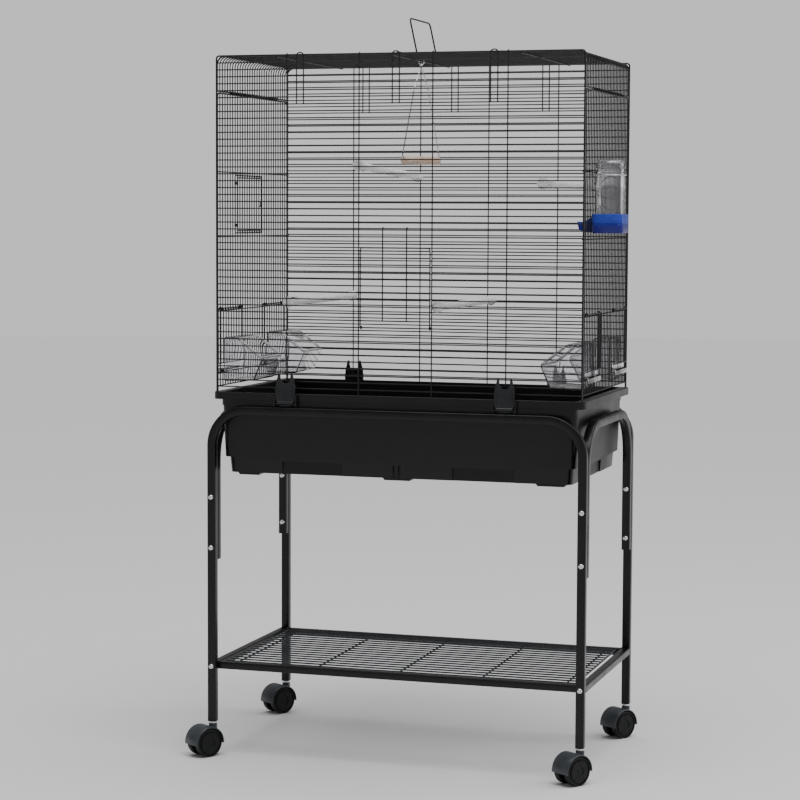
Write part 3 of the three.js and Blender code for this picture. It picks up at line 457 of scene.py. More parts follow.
wheelPlastic = coated("wheel plastic", {
    "toneA": (0.003, 0.0034, 0.0038), "toneB": (0.0065, 0.0072, 0.0082), "patchScale": 90,
    "roughness": (0.38, 0.52), "pebbleScale": 1300, "bump": 0.3, "specular": 0.25,
})
zincPlate = coated("zinc plate", {
    "toneA": (0.72, 0.73, 0.75), "toneB": (0.84, 0.84, 0.85), "patchScale": 220,
    "roughness": (0.16, 0.32), "pebbleScale": 2600, "bump": 0.12, "metallic": 1,
})
swingPlate = coated("swing wire plate", {
    "toneA": (0.66, 0.66, 0.68), "toneB": (0.82, 0.81, 0.82), "patchScale": 150,
    "roughness": (0.14, 0.26), "pebbleScale": 2200, "bump": 0.08, "metallic": 1,
})
gridCoat = coated("shelf wire coat", {
    "toneA": (0.014, 0.017, 0.021), "toneB": (0.024, 0.028, 0.035), "patchScale": 50,
    "roughness": (0.25, 0.38), "pebbleScale": 1400, "bump": 0.15, "coat": 0.3,
})
perchPlastic = coated("perch plastic", {
    "toneA": (0.86, 0.81, 0.85), "toneB": (0.93, 0.90, 0.92), "patchScale": 40,
    "roughness": (0.38, 0.52), "pebbleScale": 1200, "bump": 0.35,
})
clearPlastic = coated("clear plastic", {
    "toneA": (0.93, 0.93, 0.95), "toneB": (0.98, 0.98, 0.99), "patchScale": 25,
    "roughness": (0.0, 0.03), "pebbleScale": 400, "bump": 0.012, "transmission": 0.97,
    "ior": 1.42, "swellShare": 0.95, "swellScale": 45,
})
# painted highlight: a milky plastic, whiter than the clear cups, for the rim beads, standing in for the
# bright strokes light makes along clear edges
clearEdgeHighlight = coated("clear plastic edge painted highlight", {
    "toneA": (0.88, 0.86, 0.90), "toneB": (0.96, 0.95, 0.97), "patchScale": 60,
    "roughness": (0.08, 0.2), "pebbleScale": 900, "bump": 0.05, "transmission": 0.35,
    "ior": 1.5,
})


def makeBlue(bounds):
    # translucent blue, brighter where light comes in at the top
    material = coated("blue plastic", {
        "toneA": (0.022, 0.048, 0.38), "toneB": (0.034, 0.07, 0.5), "patchScale": 30,
        "roughness": (0.2, 0.32), "pebbleScale": 1500, "bump": 0.12, "specular": 0.35,
    })
    nodes, links = material.node_tree.nodes, material.node_tree.links
    shader = nodes["Principled BSDF"]
    place = nodes.new("ShaderNodeTexCoord")
    split = nodes.new("ShaderNodeSeparateXYZ")
    links.new(place.outputs["Object"], split.inputs["Vector"])
    paintedShadeFade = nodes.new("ShaderNodeMapRange")
    paintedShadeFade.interpolation_type = "SMOOTHSTEP"
    paintedShadeFade.inputs["From Min"].default_value = bounds[0]
    paintedShadeFade.inputs["From Max"].default_value = bounds[1]
    links.new(split.outputs["Z"], paintedShadeFade.inputs["Value"])
    # painted shade: below the fade the base is coloured dark blue, and only its top keeps the lit tone
    depth = nodes.new("ShaderNodeMix")
    depth.data_type = "RGBA"
    depth.blend_type = "MIX"
    depth.inputs[6].default_value = (0.008, 0.008, 0.2, 1)
    links.new(paintedShadeFade.outputs["Result"], depth.inputs["Factor"])
    tone = next(node for node in nodes if node.type == "GROUP" and node.node_tree == mottle)
    links.new(tone.outputs["Color"], depth.inputs[7])
    links.new(depth.outputs[2], shader.inputs["Base Color"])
    return material


# heights in metres where the painted shade low on the base gives way to the lit tone above
bluePlastic = makeBlue((0.938, 0.952))


def makeDowel(turn):
    # sanded wood with its grain along the dowel
    material = bpy.data.materials.new("sanded dowel")
    material.use_nodes = True
    nodes, links = material.node_tree.nodes, material.node_tree.links
    shader = nodes["Principled BSDF"]
    place = nodes.new("ShaderNodeTexCoord")
    along = nodes.new("ShaderNodeMapping")
    along.vector_type = "TEXTURE"
    along.inputs["Rotation"].default_value = (0, 0, turn)
    along.inputs["Scale"].default_value = (9, 1, 1)
    links.new(place.outputs["Object"], along.inputs["Vector"])
    fibres = nodes.new("ShaderNodeTexNoise")
    fibres.inputs["Scale"].default_value = 700
    fibres.inputs["Detail"].default_value = 5
    rings = nodes.new("ShaderNodeTexNoise")
    rings.inputs["Scale"].default_value = 160
    rings.inputs["Distortion"].default_value = 0.6
    for texture in (fibres, rings):
        links.new(along.outputs["Vector"], texture.inputs["Vector"])
    stripes = nodes.new("ShaderNodeValToRGB")
    stripes.color_ramp.elements[0].position = 0.36
    stripes.color_ramp.elements[0].color = (0.66, 0.42, 0.28, 1)
    stripes.color_ramp.elements[1].position = 0.62
    stripes.color_ramp.elements[1].color = (0.93, 0.76, 0.62, 1)
    links.new(rings.outputs["Fac"], stripes.inputs["Fac"])
    fleck = nodes.new("ShaderNodeMix")
    fleck.data_type = "RGBA"
    fleck.blend_type = "MULTIPLY"
    fleck.inputs["Factor"].default_value = 0.35
    links.new(stripes.outputs["Color"], fleck.inputs[6])
    links.new(fibres.outputs["Fac"], fleck.inputs[7])
    links.new(fleck.outputs[2], shader.inputs["Base Color"])
    bump = nodes.new("ShaderNodeBump")
    bump.inputs["Strength"].default_value = 0.3
    bump.inputs["Distance"].default_value = 0.0003
    links.new(fibres.outputs["Fac"], bump.inputs["Height"])
    links.new(bump.outputs["Normal"], shader.inputs["Normal"])
    shader.inputs["Roughness"].default_value = 0.55
    return material


print("materials ready")

# Front and back panels: level rows between corner wires, uprights and hairpins outside them
rowPanel = {
    "outside": 2.5,  # from the rows' plane to the uprights' plane
    "hairpins": (-173, 0, 173),
    "hairpinHalf": 6.25,
    "hairpinRows": 7,
    "hairpinRise": 3.5,
    "hairpinTuck": 1.1,  # how far its ends pass the row they hold
    "hairpinBend": 5.2,
    "cornerBend": 5,
    "capLift": 2.2,  # an upright's bent top lies this far over the top wire
    "capBend": 1.6,
    "doorHalf": 65.68,
    "doorGap": 1.6,
    "doorRows": (27, 39),
}


def makeRowPanel(name, side, hasDoor):
    shape = bmesh.new()
    wide, plane = cage["halfWidth"], side * cage["halfDepth"]
    outside = plane + side * rowPanel["outside"]
    top, foot = cage["top"], cage["foot"]
    wirePath(
        shape,
        [(-wide, plane, foot), (-wide, plane, top), (wide, plane, top), (wide, plane, foot)],
        cage["edgeWire"], rowPanel["cornerBend"], 10)
    first, last = rowPanel["doorRows"]
    for k in range(1, cage["rows"] + 1):
        z = rowHeight(k)
        if hasDoor and first < k < last:
            inner = rowPanel["doorHalf"] - rowPanel["doorGap"]
            for end in (-1, 1):
                rod(shape, (end * wide, plane, z), (end * inner, plane, z), cage["wire"])
        else:
            rod(shape, (-wide, plane, z), (wide, plane, z), cage["wire"])
    over = top + rowPanel["capLift"]
    for i in (-1.5, -0.5, 0.5, 1.5):
        x = i * cage["frontBay"]
        wirePath(shape, [(x, outside, foot), (x, outside, over), (x, plane, over)],
                 cage["wire"], rowPanel["capBend"], 8, 3)
    for x in rowPanel["hairpins"]:
        half = rowPanel["hairpinHalf"]
        low = rowHeight(rowPanel["hairpinRows"]) - rowPanel["hairpinTuck"]
        crown = top + rowPanel["hairpinRise"]
        wirePath(
            shape,
            [(x - half, outside, low), (x - half, outside, crown), (x + half, outside, crown),
             (x + half, outside, low)],
            cage["wire"], rowPanel["hairpinBend"], 8, 5)
    return finishPiece(name, shape, "cage", wireCoat, [name])


makeRowPanel("front_panel", -1, True).name = "front_wires"
makeRowPanel("back_panel", 1, False).name = "back_wires"
print("front and back panels")

# Side panels: close uprights, and level wires inside them
sidePanel = {
    "top": 1169.1,
    "low": 656.4,
    "levels": (680.4, 788.4, 918.5, 1032),
    "inside": 2.5,
    "feederBays": ((1, 10), (19, 28)),
    "feederHeights": (680.4, 788.4),
    "nestBays": (8, 18),
    "nestHeights": (929, 1023),
    "wrapped": range(5, 25),
    "cornerBend": 8,
    "overhang": 1.5,  # of a level wire past the end uprights
}


def makeSidePanel(name, side, openings):
    shape = bmesh.new()
    plane = side * cage["halfWidth"]
    inside = plane - side * sidePanel["inside"]
    reach = cage["sideStart"]
    top, low = sidePanel["top"], sidePanel["low"]
    wirePath(
        shape,
        [(plane, -reach, cage["foot"]), (plane, -reach, top), (plane, reach, top),
         (plane, reach, cage["foot"])],
        cage["edgeWire"], sidePanel["cornerBend"], 10)
    rod(shape, (plane, -reach, low), (plane, reach, low), cage["wire"])
    end = reach + sidePanel["overhang"]
    for z in sidePanel["levels"]:
        rod(shape, (inside, -end, z), (inside, end, z), cage["wire"])
    for j in range(1, cage["sideWires"] - 1):
        y = sideWire(j)
        stops = sorted(heights for bays, heights in openings if bays[0] < j < bays[1])
        foot = low
        for heights in stops:
            rod(shape, (plane, y, foot), (plane, y, heights[0]), cage["wire"])
            foot = heights[1]
        rod(shape, (plane, y, foot), (plane, y, top), cage["wire"])
    for bays, heights in openings:
        for z in heights:
            rod(shape, (plane, sideWire(bays[0]), z), (plane, sideWire(bays[1]), z), cage["wire"])
    return finishPiece(name, shape, "cage", wireCoat, [name])


feeders = [(bays, sidePanel["feederHeights"]) for bays in sidePanel["feederBays"]]
nest = (sidePanel["nestBays"], sidePanel["nestHeights"])
makeSidePanel("left_panel", -1, feeders + [nest]).name = "left_wires"
makeSidePanel("right_panel", 1, feeders).name = "right_wires"
print("side panels")

# Top panel: wires along X that bend down as a flap at each side
topPanel = {
    "flapFoot": 1172.4,
    "bend": 15,
    "ties": (-218, -10, 218),
    "tieDrop": 2.5,
    "handleWire": 1.5,
    "wrapOffset": 2.2,
    "wrap": {"radius": 2.5, "turns": 0.9, "pitch": 1.4, "wire": 0.9},
}


def makeTopPanel():
    shape = bmesh.new()
    wide, top, foot = cage["halfWidth"], cage["top"], topPanel["flapFoot"]
    reach = cage["sideStart"]
    for j in range(cage["sideWires"]):
        y = sideWire(j)
        edge = j in (0, cage["sideWires"] - 1)
        radius = cage["edgeWire"] if edge else cage["wire"]
        wirePath(shape, [(-wide, y, foot), (-wide, y, top), (wide, y, top), (wide, y, foot)],
                 radius, topPanel["bend"], 8, 6)
    for side in (-1, 1):
        rod(shape, (side * wide, -reach, foot), (side * wide, reach, foot), cage["edgeWire"], 10)
        for j in sidePanel["wrapped"]:
            # each wire end is closed round the side panel's top wire
            centre = (side * wide, sideWire(j) + topPanel["wrapOffset"], foot)
            coil(shape, centre, (0, 1, 0), **topPanel["wrap"])
    end, drop = reach + sidePanel["overhang"], topPanel["tieDrop"]
    crossWires = [(x, top - drop) for x in topPanel["ties"]] + [(topPanel["handleWire"], top + drop)]
    for x, z in crossWires:
        rod(shape, (x, -end, z), (x, end, z), cage["wire"])
    return finishPiece("top_wires", shape, "cage", wireCoat, ["top_panel"])


makeTopPanel()
print("top panel")

# Front door: a flap hinged at its foot, with two hooks that catch a row above the opening
frontDoor = {
    "plane": -182.8,
    "outside": -185.3,
    "half": 62.5,
    "hinge": 764.4,
    "top": 901.6,
    "bars": (28, 38),
    "uprights": (-21.5, 21.5),
    "hook": 935.8,
    "hookReach": -177.8,
    "hingeGap": 1.5,
    "eyeOut": 3.2,
    "eyeInset": 0.7,
    "eye": {"radius": 2.3, "turns": 1.3, "pitch": 2, "wire": 0.9, "sides": 8},
    "barEnd": {"radius": 1.5, "turns": 1.2, "pitch": 1.7, "wire": 0.75},
}


def makeFrontDoor():
    shape = bmesh.new()
    plane, outside, half = frontDoor["plane"], frontDoor["outside"], frontDoor["half"]
    hinge, top = frontDoor["hinge"], frontDoor["top"]
    foot = hinge + frontDoor["hingeGap"]
    wirePath(
        shape,
        [(-half, plane, foot), (-half, plane, top), (half, plane, top), (half, plane, foot)],
        cage["wire"], 4, 8)
    first, last = frontDoor["bars"]
    for k in range(first, last + 1):
        z = rowHeight(k)
        rod(shape, (-half, plane, z), (half, plane, z), cage["wire"])
        # the bar's left end is turned once round the leg
        coil(shape, (-half, plane, z), (0, 0, 1), **frontDoor["barEnd"])
    for x in frontDoor["uprights"]:
        wirePath(
            shape,
            [(x, outside, rowHeight(last) - 1), (x, outside, frontDoor["hook"]),
             (x - 1, frontDoor["hookReach"], frontDoor["hook"] + 0.6)],
            cage["wire"], 2, 8)
    for end in (-1, 1):
        # eyes that turn on the hinge row
        centre = (end * (half - frontDoor["eyeInset"]), plane + frontDoor["eyeOut"], hinge)
        coil(shape, centre, (1, 0, 0), **frontDoor["eye"])
    return finishPiece("door_wires", shape, "front_door", wireCoat, ["front_door"])


makeFrontDoor()

# Side doors: a rim wire with upright bars
sideDoors = {
    "plane": 331.6,
    "nestAcross": (-83.9, 47.5),
    "nestHeights": (924.6, 1027.4),
    "nestBars": 11,
    "nestCoil": {"radius": 2.1, "turns": 2.2, "pitch": 2, "wire": 0.8},
    "nestCoilInset": 14,
    "catch": ((-6.9, 0), (2.1, 2.2)),  # past the rim, and out from the door
    "catchHeights": (972, 974, 980, 982),
    "feederHeights": (695.1, 791.9),
    "feederLap": 1.4,
    "feederCoil": {"radius": 2.4, "turns": 3.2, "pitch": 2, "wire": 0.85},
    "feederCoilInset": 8,
    "bend": 3,
}


def makeSideDoor(side, across, heights, bars):
    shape = bmesh.new()
    plane = side * sideDoors["plane"]
    (left, right), (low, high) = across, heights
    middle = (left + right) / 2
    wirePath(
        shape,
        [(plane, middle, low), (plane, left, low), (plane, left, high), (plane, right, high),
         (plane, right, low), (plane, middle, low)],
        cage["wire"], sideDoors["bend"], 8)
    pitch = (right - left) / bars
    for i in range(1, bars):
        y = left + i * pitch
        rod(shape, (plane, y, low), (plane, y, high), cage["wire"])
    return shape


def makeNestDoor():
    across, heights = sideDoors["nestAcross"], sideDoors["nestHeights"]
    plane, inset = -sideDoors["plane"], sideDoors["nestCoilInset"]
    shape = makeSideDoor(-1, across, heights, sideDoors["nestBars"])
    for z in (heights[0] + inset, heights[1] - inset):
        coil(shape, (plane + 1.2, across[0], z), (0, 0, 1), **sideDoors["nestCoil"])
    # the catch, a loop that springs over the opening's far upright
    ends = [(across[1] + along, plane - out) for along, out in sideDoors["catch"]]
    route = [ends[0], ends[1], ends[1], ends[0]]
    loop = [(x, y, z) for (y, x), z in zip(route, sideDoors["catchHeights"])]
    wirePath(shape, loop, 0.9, 2, 8)
    finishPiece("nest_door_wires", shape, "nest_door", wireCoat, ["nest_door"])


def makeFeederDoor(label, side, bays):
    lap, inset = sideDoors["feederLap"], sideDoors["feederCoilInset"]
    heights = sideDoors["feederHeights"]
    across = (sideWire(bays[0]) - lap, sideWire(bays[1]) + lap)
    shape = makeSideDoor(side, across, heights, bays[1] - bays[0])
    for y in (across[0] + inset, across[1] - inset):
        centre = (side * (sideDoors["plane"] - 1.3), y, heights[1])
        coil(shape, centre, (0, 1, 0), **sideDoors["feederCoil"])
    finishPiece(f"{label}_wires", shape, label, wireCoat, [label])


makeNestDoor()

for sideName, side in (("left", -1), ("right", 1)):
    for endName, bays in zip(("front", "rear"), sidePanel["feederBays"]):
        makeFeederDoor(f"feeder_door_{sideName}_{endName}", side, bays)
print("doors")

# Feeder cups: clear hooded scoops whose lips hook over the opening's sill
feederCup = {
    "wall": 2,
    "sideGap": 3.6,
    "profile": ((4.2, 664), (61.2, 666), (78.2, 705), (30.2, 742), (4.2, 742)),
    "lip": (-6.6, 676, 684, 686),  # outer face, foot, and the hook's underside and top
    "lipInner": 6.2,
    "lipThick": 2,
    "lipShort": 8,  # how much narrower the lip is than the cup
    "round": 3.5,
    "bead": 1.5,  # radius of the rim round the mouth
}


def makeFeederCup(label, side, bays):
    shape = bmesh.new()
    left = sideWire(bays[0]) + feederCup["sideGap"]
    right = sideWire(bays[1]) - feederCup["sideGap"]
    # local X runs inwards from the panel, local Y up, local Z along the cage's depth
    place = Matrix((
        (-side, 0, 0, side * cage["halfWidth"]),
        (0, 0, 1, left),
        (0, 1, 0, 0),
        (0, 0, 0, 1),
    ))
    cutOut(shape, feederCup["profile"], Matrix(), right - left)
    bmesh.ops.bevel(
        shape, geom=list(shape.edges), offset=feederCup["round"], segments=3, profile=0.5,
        affect="EDGES", material=-1)
    settleOrder(shape)
    bmesh.ops.recalc_face_normals(shape, faces=shape.faces)
    mouthFace = Vector((37, 48, 0)).normalized()
    mouth = max(shape.faces, key=lambda face: face.normal.dot(mouthFace) * face.calc_area())
    rim = [loop.vert.co.copy() for loop in mouth.loops]
    bmesh.ops.delete(shape, geom=[mouth], context="FACES")
    bmesh.ops.solidify(shape, geom=list(shape.faces), thickness=feederCup["wall"])
    bead = bmesh.new()
    for start, end in zip(rim, rim[1:] + rim[:1]):
        rod(bead, start, end, feederCup["bead"], 8)
    for corner in rim:
        bmesh.ops.create_uvsphere(
            bead, u_segments=8, v_segments=6, radius=feederCup["bead"],
            matrix=Matrix.Translation(corner))
    bmesh.ops.transform(bead, matrix=place, verts=bead.verts)
    # the rim bead takes the whiter edge plastic, a painted highlight along the cup's mouth
    finishPiece(f"{label}_bead", bead, label, clearEdgeHighlight, [label], 50)
    outer, low, under, over = feederCup["lip"]
    depth = right - left
    middle, height = depth / 2, (under + over) / 2
    thick, span = feederCup["lipThick"], depth - feederCup["lipShort"]
    bar(shape, (outer, height, middle), (feederCup["lipInner"], height, middle), thick, span, 0.8)
    fall = outer + thick / 2
    bar(shape, (fall, low, middle), (fall, over, middle), thick, span, 0.8)
    bmesh.ops.transform(shape, matrix=place, verts=shape.verts)
    return finishPiece(f"{label}_clear", shape, label, clearPlastic, [label], 50)


for sideName, side in (("left", -1), ("right", 1)):
    for endName, bays in zip(("front", "rear"), sidePanel["feederBays"]):
        makeFeederCup(f"feeder_cup_{sideName}_{endName}", side, bays)
print("feeder cups")

# Perches: turned plastic dowels with flared caps
perch = {"half": 178, "endGap": 0.6, "radius": 6.5, "dip": 6.2, "ribs": 11}
perches = {  # place across, then height at the front and the back
    "upper_left": (-69, 1042, 1029),
    "lower_left": (-197, 806, 806),
    "lower_right": (74, 802, 802),
    "upper_right": (257, 1012, 1012),
}


def makePerch(name, x, frontHeight, backHeight):
    shape = bmesh.new()
    half, radius = perch["half"], perch["radius"]
    length = half - perch["endGap"]
    profile = [
        (0, -length), (8.6, -length), (10, -length + 1), (10, -length + 3), (8.2, -length + 6.5),
        (radius, -length + 9),
    ]
    for i in range(1, perch["ribs"]):
        # faint rings keep claws from slipping
        z = -length + 14 + i * (2 * length - 28) / perch["ribs"]
        profile += [(radius, z - 1.2), (perch["dip"], z), (radius, z + 1.2)]
    profile += [(reach, -z) for reach, z in reversed(profile[:6])]
    tilt = math.atan2(backHeight - frontHeight, 2 * half)
    place = Matrix.Translation((x, 0, (frontHeight + backHeight) / 2)) @ Matrix.Rotation(
        tilt - math.pi / 2, 4, "X")
    lathe(shape, profile, place, 24)
    return finishPiece(f"perch_{name}_dowel", shape, "cage", perchPlastic,
                       [f"perch_{name}"])


for name, (x, frontHeight, backHeight) in perches.items():
    makePerch(name, x, frontHeight, backHeight)
print("perches")

# Swing: a plated wire frame on the cross wire, with a dowel seat
swing = {
    "x": -10,
    "pivot": 1229.9,
    "turn": math.radians(67),
    "shoulder": (20.5, 1176.5),
    "leg": 50.3,
    "seat": 1055,
    "seatRadius": 7,
    "seatHalf": 49,
}


def makeSwing():
    shape = bmesh.new()
    turn = Matrix.Translation((swing["x"], 0, 0)) @ Matrix.Rotation(swing["turn"], 4, "Z")
    shoulder, shoulderHeight = swing["shoulder"]
    leg, seat = swing["leg"], swing["seat"]
    apex = swing["pivot"] - 6.6
    path = [
        (-leg + 6, 0, seat), (-leg, 0, seat), (-leg, 0, seat + 9), (-shoulder, 0, shoulderHeight),
        (0, 0, apex), (shoulder, 0, shoulderHeight), (leg, 0, seat + 9), (leg, 0, seat),
        (leg - 6, 0, seat),
    ]
    wirePath(shape, [turn @ Vector(point) for point in path], 1.1, 5, 8, 5)
    ring = roundRing(shape, (swing["x"] + 4.6, 0, swing["pivot"] - 1.2), (0, 0, 1), 1.1, 8)
    # the eye round the cross wire
    spinRing(shape, ring, (swing["x"], 0, swing["pivot"] - 1.2), (0, 1, 0), math.tau, 20)
    bmesh.ops.create_uvsphere(
        shape, u_segments=16, v_segments=10, radius=2.6,
        matrix=Matrix.Translation((swing["x"], 0, apex)))
    finishPiece("swing_wires", shape, "swing", swingPlate, ["swing_frame"])
    shape = bmesh.new()
    half, radius = swing["seatHalf"], swing["seatRadius"]
    profile = [
        (0, -half + 0.5), (2, -half + 0.5), (2, -half), (radius - 1.2, -half), (radius, -half + 1.2),
        (radius, -half + 8), (radius, 0), (radius, half - 8), (radius, half - 1.2),
        (radius - 1.2, half), (2, half), (2, half - 0.5), (0, half - 0.5),
    ]
    place = turn @ Matrix.Translation((0, 0, seat)) @ Matrix.Rotation(math.pi / 2, 4, "Y")
    lathe(shape, profile, place, 32)
    finishPiece("swing_dowel", shape, "swing", makeDowel(swing["turn"]), ["swing_seat"])


makeSwing()

# Carry handle: a bail on the cross wire above the top panel
handle = {"x": 1.5, "pivot": 1234.9, "half": 60.8, "length": 67.6, "lean": math.radians(-12.4)}


def makeHandle():
    shape = bmesh.new()
    half, length = handle["half"], handle["length"]
    lean = Matrix.Translation((handle["x"], 0, handle["pivot"])) @ Matrix.Rotation(
        handle["lean"], 4, "Y")
    path = [(0, -half, 3.4), (0, -half, length), (0, half, length), (0, half, 3.4)]
    wirePath(shape, [lean @ Vector(point) for point in path], 1.5, 9, 12, 6)
    for end in (-1, 1):
        coil(shape, (handle["x"], end * half, handle["pivot"]), (0, 1, 0), 2.6, 2.4, 2.6, 1.3, 8)
    finishPiece("handle_wire", shape, "handle", wireCoat, ["carry_handle"])


makeHandle()
print("swing and handle")

# Water bottle, its blue base with a drinking nose, and the wire clip
bottle = {
    "x": 358.4,
    "y": (sideWire(5) + sideWire(6)) / 2,
    "radius": 24.5,
    "wall": 1.5,
    "foot": 946.3,
    "top": 1052,
    "baseFoot": 929,
    "baseTop": 961,
    "baseHalf": 27,
    "socket": 25.2,
    "socketFoot": 946,
    "noseHalf": 4.65,
    "bore": 2.95,
    "baseSteps": (  # growth and rise of each ring of the base, with a shadow line halfway
        (1.045, 2), (1.008, 12), (0.975, 0.6), (1, 1.2), (1.026, 0.6), (1, 15), (0.97, 0.6),
    ),
    "clip": 1027.1,
    "clipRadius": 26.2,
    "clipLegs": (2.4, 10.2),  # beside the middle at the ring, and at the panel
    "clipFoot": 325.6,
}


def makeBottle():
    shape = bmesh.new()
    radius, wall = bottle["radius"], bottle["wall"]
    foot, top = bottle["foot"], bottle["top"]
    inner = radius - wall
    profile = [
        (inner, foot), (radius, foot), (radius, foot + 14), (radius - 0.5, foot + 15),
        (radius - 0.5, foot + 16.5), (radius, foot + 17.5), (radius, top - 17), (radius - 0.7, top - 16),
        (radius - 0.7, top - 14.5), (radius, top - 13.5), (radius, top - 6), (radius - 0.6, top - 3.4),
        (radius - 2.6, top - 1.2), (radius - 5.2, top), (14, top), (12.5, top - 0.8), (0, top - 0.8),
    ]
    inside = [
        (0, top - 2.4), (18, top - 2.2), (inner - 1.9, top - 3.6), (inner - 0.4, top - 6.5),
        (inner, top - 14), (inner, foot + 20),
    ]
    lathe(shape, profile + inside + [(inner, foot)],
          Matrix.Translation((bottle["x"], bottle["y"], 0)), 48)
    finishPiece("bottle_shell", shape, "bottle", clearPlastic, ["water_bottle"], 50)


def makeBottleBase():
    x, y, foot, top = bottle["x"], bottle["y"], bottle["baseFoot"], bottle["baseTop"]
    half = bottle["baseHalf"]
    shape = bmesh.new()
    ring = squareRing(shape, half - 1.4, half - 1.4, 8, Matrix.Translation((x, y, foot)), 6)
    middle = Matrix.Translation((x, y, 0))

    def grow(ring, factor, rise):
        made = bmesh.ops.extrude_edge_only(shape, edges=ring)["geom"]
        verts = [item for item in made if isinstance(item, bmesh.types.BMVert)]
        bmesh.ops.scale(shape, vec=(factor, factor, 1), verts=verts, space=middle.inverted())
        bmesh.ops.translate(shape, vec=(0, 0, rise), verts=verts)
        return ringEdges(verts)

    topRing = ring
    for factor, rise in bottle["baseSteps"]:
        topRing = grow(topRing, factor, rise)
    capRing(shape, ring)
    capRing(shape, topRing)
    socket = bmesh.new()
    rod(socket, (x, y, bottle["socketFoot"]), (x, y, top + 4), bottle["socket"], 48)
    shape = carve(shape, socket)
    nose = bmesh.new()
    inner = x - half
    tip = cage["halfWidth"] - 26.6
    outline = [
        (inner + 3, foot + 1), (tip + 11, foot + 1), (tip + 3, foot + 7), (tip, foot + 19),
        (tip + 12, foot + 19), (inner, top - 3), (inner + 3, top - 3),
    ]
    nosePlace = Matrix((
        (1, 0, 0, 0),
        (0, 0, 1, y - bottle["noseHalf"]),
        (0, 1, 0, 0),
        (0, 0, 0, 1),
    ))
    cutOut(nose, outline, nosePlace, 2 * bottle["noseHalf"])
    channel = bmesh.new()
    block(channel, (tip + 8, y - bottle["bore"], foot + 5), (inner + 2, y + bottle["bore"], top + 1))
    nose = carve(nose, channel)
    shape.from_mesh(meshOf(nose, "nose"))
    finishPiece("bottle_base_shell", shape, "cage", bluePlastic, ["bottle_base"],
                38, 0.6)


def makeClip():
    shape = bmesh.new()
    x, y, z = bottle["x"], bottle["y"], bottle["clip"]
    radius, foot = bottle["clipRadius"], bottle["clipFoot"]
    ring = roundRing(shape, (x + radius, y, z), (0, 1, 0), cage["wire"], 8)
    spinRing(shape, ring, (x, y, z), (0, 0, 1), math.tau, 40)
    near, far = bottle["clipLegs"]
    for end in (-1, 1):
        leg = [(x - radius + 0.3, y + end * near, z), (foot, y + end * near, z), (foot, y + end * far, z)]
        wirePath(shape, leg, cage["wire"], 2, 8)
    finishPiece("clip_wire", shape, "cage", swingPlate, ["bottle_clip"])


makeBottle()
makeBottleBase()
makeClip()
print("bottle")

# Base tub: stacked rounded rings, stepped in low down, with recesses in its foot
tub = {
    "round": 12,
    "outer": (
        (309.3, 167.3, 504), (311.5, 169.5, 532), (317.5, 176.5, 532), (320.6, 179.6, 623.3),
        (321, 184, 623.3), (321, 184, 634), (335, 185, 634), (335, 185, 646.5),
    ),
    "inner": (
        (318.5, 177.5, 646.5), (315, 174, 534.5), (304.5, 162.5, 534.5), (302.5, 160.5, 506.5),
    ),
    "recess": (502, 526),
    "recessPlaces": (-155, 155),
    "recessHalf": 55,
    "recessDepth": 4,
    "groove": 7,
    "rib": 2.4,
    "feet": ((-273, 22), (0, 27), (273, 27)),  # place across and half length
    "footDepths": (146, 166),
    "footHeights": (500, 505),
    "footTaper": 4,
    "latch": (197.04, 18.3, 3, 184, 191.9, 625, 644.5),
}


def makeTub():
    shape = bmesh.new()
    wide, deep, height = tub["outer"][0]
    ring = squareRing(shape, wide, deep, tub["round"], Matrix.Translation((0, 0, height)), 6)
    bottom = ring
    for nextWide, nextDeep, nextHeight in tub["outer"][1:] + tub["inner"]:
        ring = pushRing(shape, ring, (0, 0, nextHeight - height),
                        (nextWide / wide, nextDeep / deep, 1))
        wide, deep, height = nextWide, nextDeep, nextHeight
    capRing(shape, bottom)
    capRing(shape, ring)
    bmesh.ops.recalc_face_normals(shape, faces=shape.faces)
    cutter = bmesh.new()
    low, high = tub["recess"]
    depth = tub["recessDepth"]
    for side in (-1, 1):
        near, far = sorted((side * (169.5 - depth), side * 182))
        for x in tub["recessPlaces"]:
            block(cutter, (x - tub["recessHalf"], near, low), (x + tub["recessHalf"], far, high))
        for end in (-1, 1):
            left, right = sorted((end * tub["rib"], end * tub["groove"]))
            block(cutter, (left, near, low), (right, far, high))
        near, far = sorted((side * (311.5 - depth), side * 324))
        block(cutter, (near, -tub["recessHalf"], low), (far, tub["recessHalf"], high))
    shape = carve(shape, cutter)
    for x, half in tub["feet"]:
        for side in (-1, 1):
            near, far = sorted(side * reach for reach in tub["footDepths"])
            under, over = tub["footHeights"]
            foot = block(shape, (x - half, near, under), (x + half, far, over))
            for vert in foot:
                if vert.co.z < (under + over) / 2:
                    vert.co.x += math.copysign(tub["footTaper"], x - vert.co.x)
    x, ear, thick, near, far, low, high = tub["latch"]
    for xSide in (-1, 1):
        for ySide in (-1, 1):
            for end in (-1, 1):
                left, right = sorted((xSide * x + end * ear, xSide * x + end * (ear + thick)))
                front, back = sorted((ySide * near, ySide * far))
                block(shape, (left, front, low), (right, back, high))
    finishPiece("tub_shell", shape, "tub", tubPlastic, ["base_tub"], 38, 1.3)


makeTub()
print("tub")

# Base latches: two-pronged clips on cross pins
latch = {
    "x": 197.04,
    "y": 189,
    "foot": 625,
    "outline": (
        (-6, 0), (6, 0), (11, 2), (15, 6), (17.4, 11.5), (18, 18), (18, 30), (16.8, 40),
        (14.6, 49), (12.6, 57), (11.4, 58), (10.2, 57), (9.6, 50), (8.4, 45), (6, 41.6), (2.5, 40),
        (-2.5, 40), (-6, 41.6), (-8.4, 45), (-9.6, 50), (-10.2, 57), (-11.4, 58), (-12.6, 57),
        (-14.6, 49), (-16.8, 40), (-18, 30), (-18, 18), (-17.4, 11.5), (-15, 6), (-11, 2),
    ),
    "thick": 4.6,
    "pivot": 629,
    "pin": (21.2, 1.5),  # half length and radius
    "roll": (14, 3.4),
    "ridge": 13.6,
}


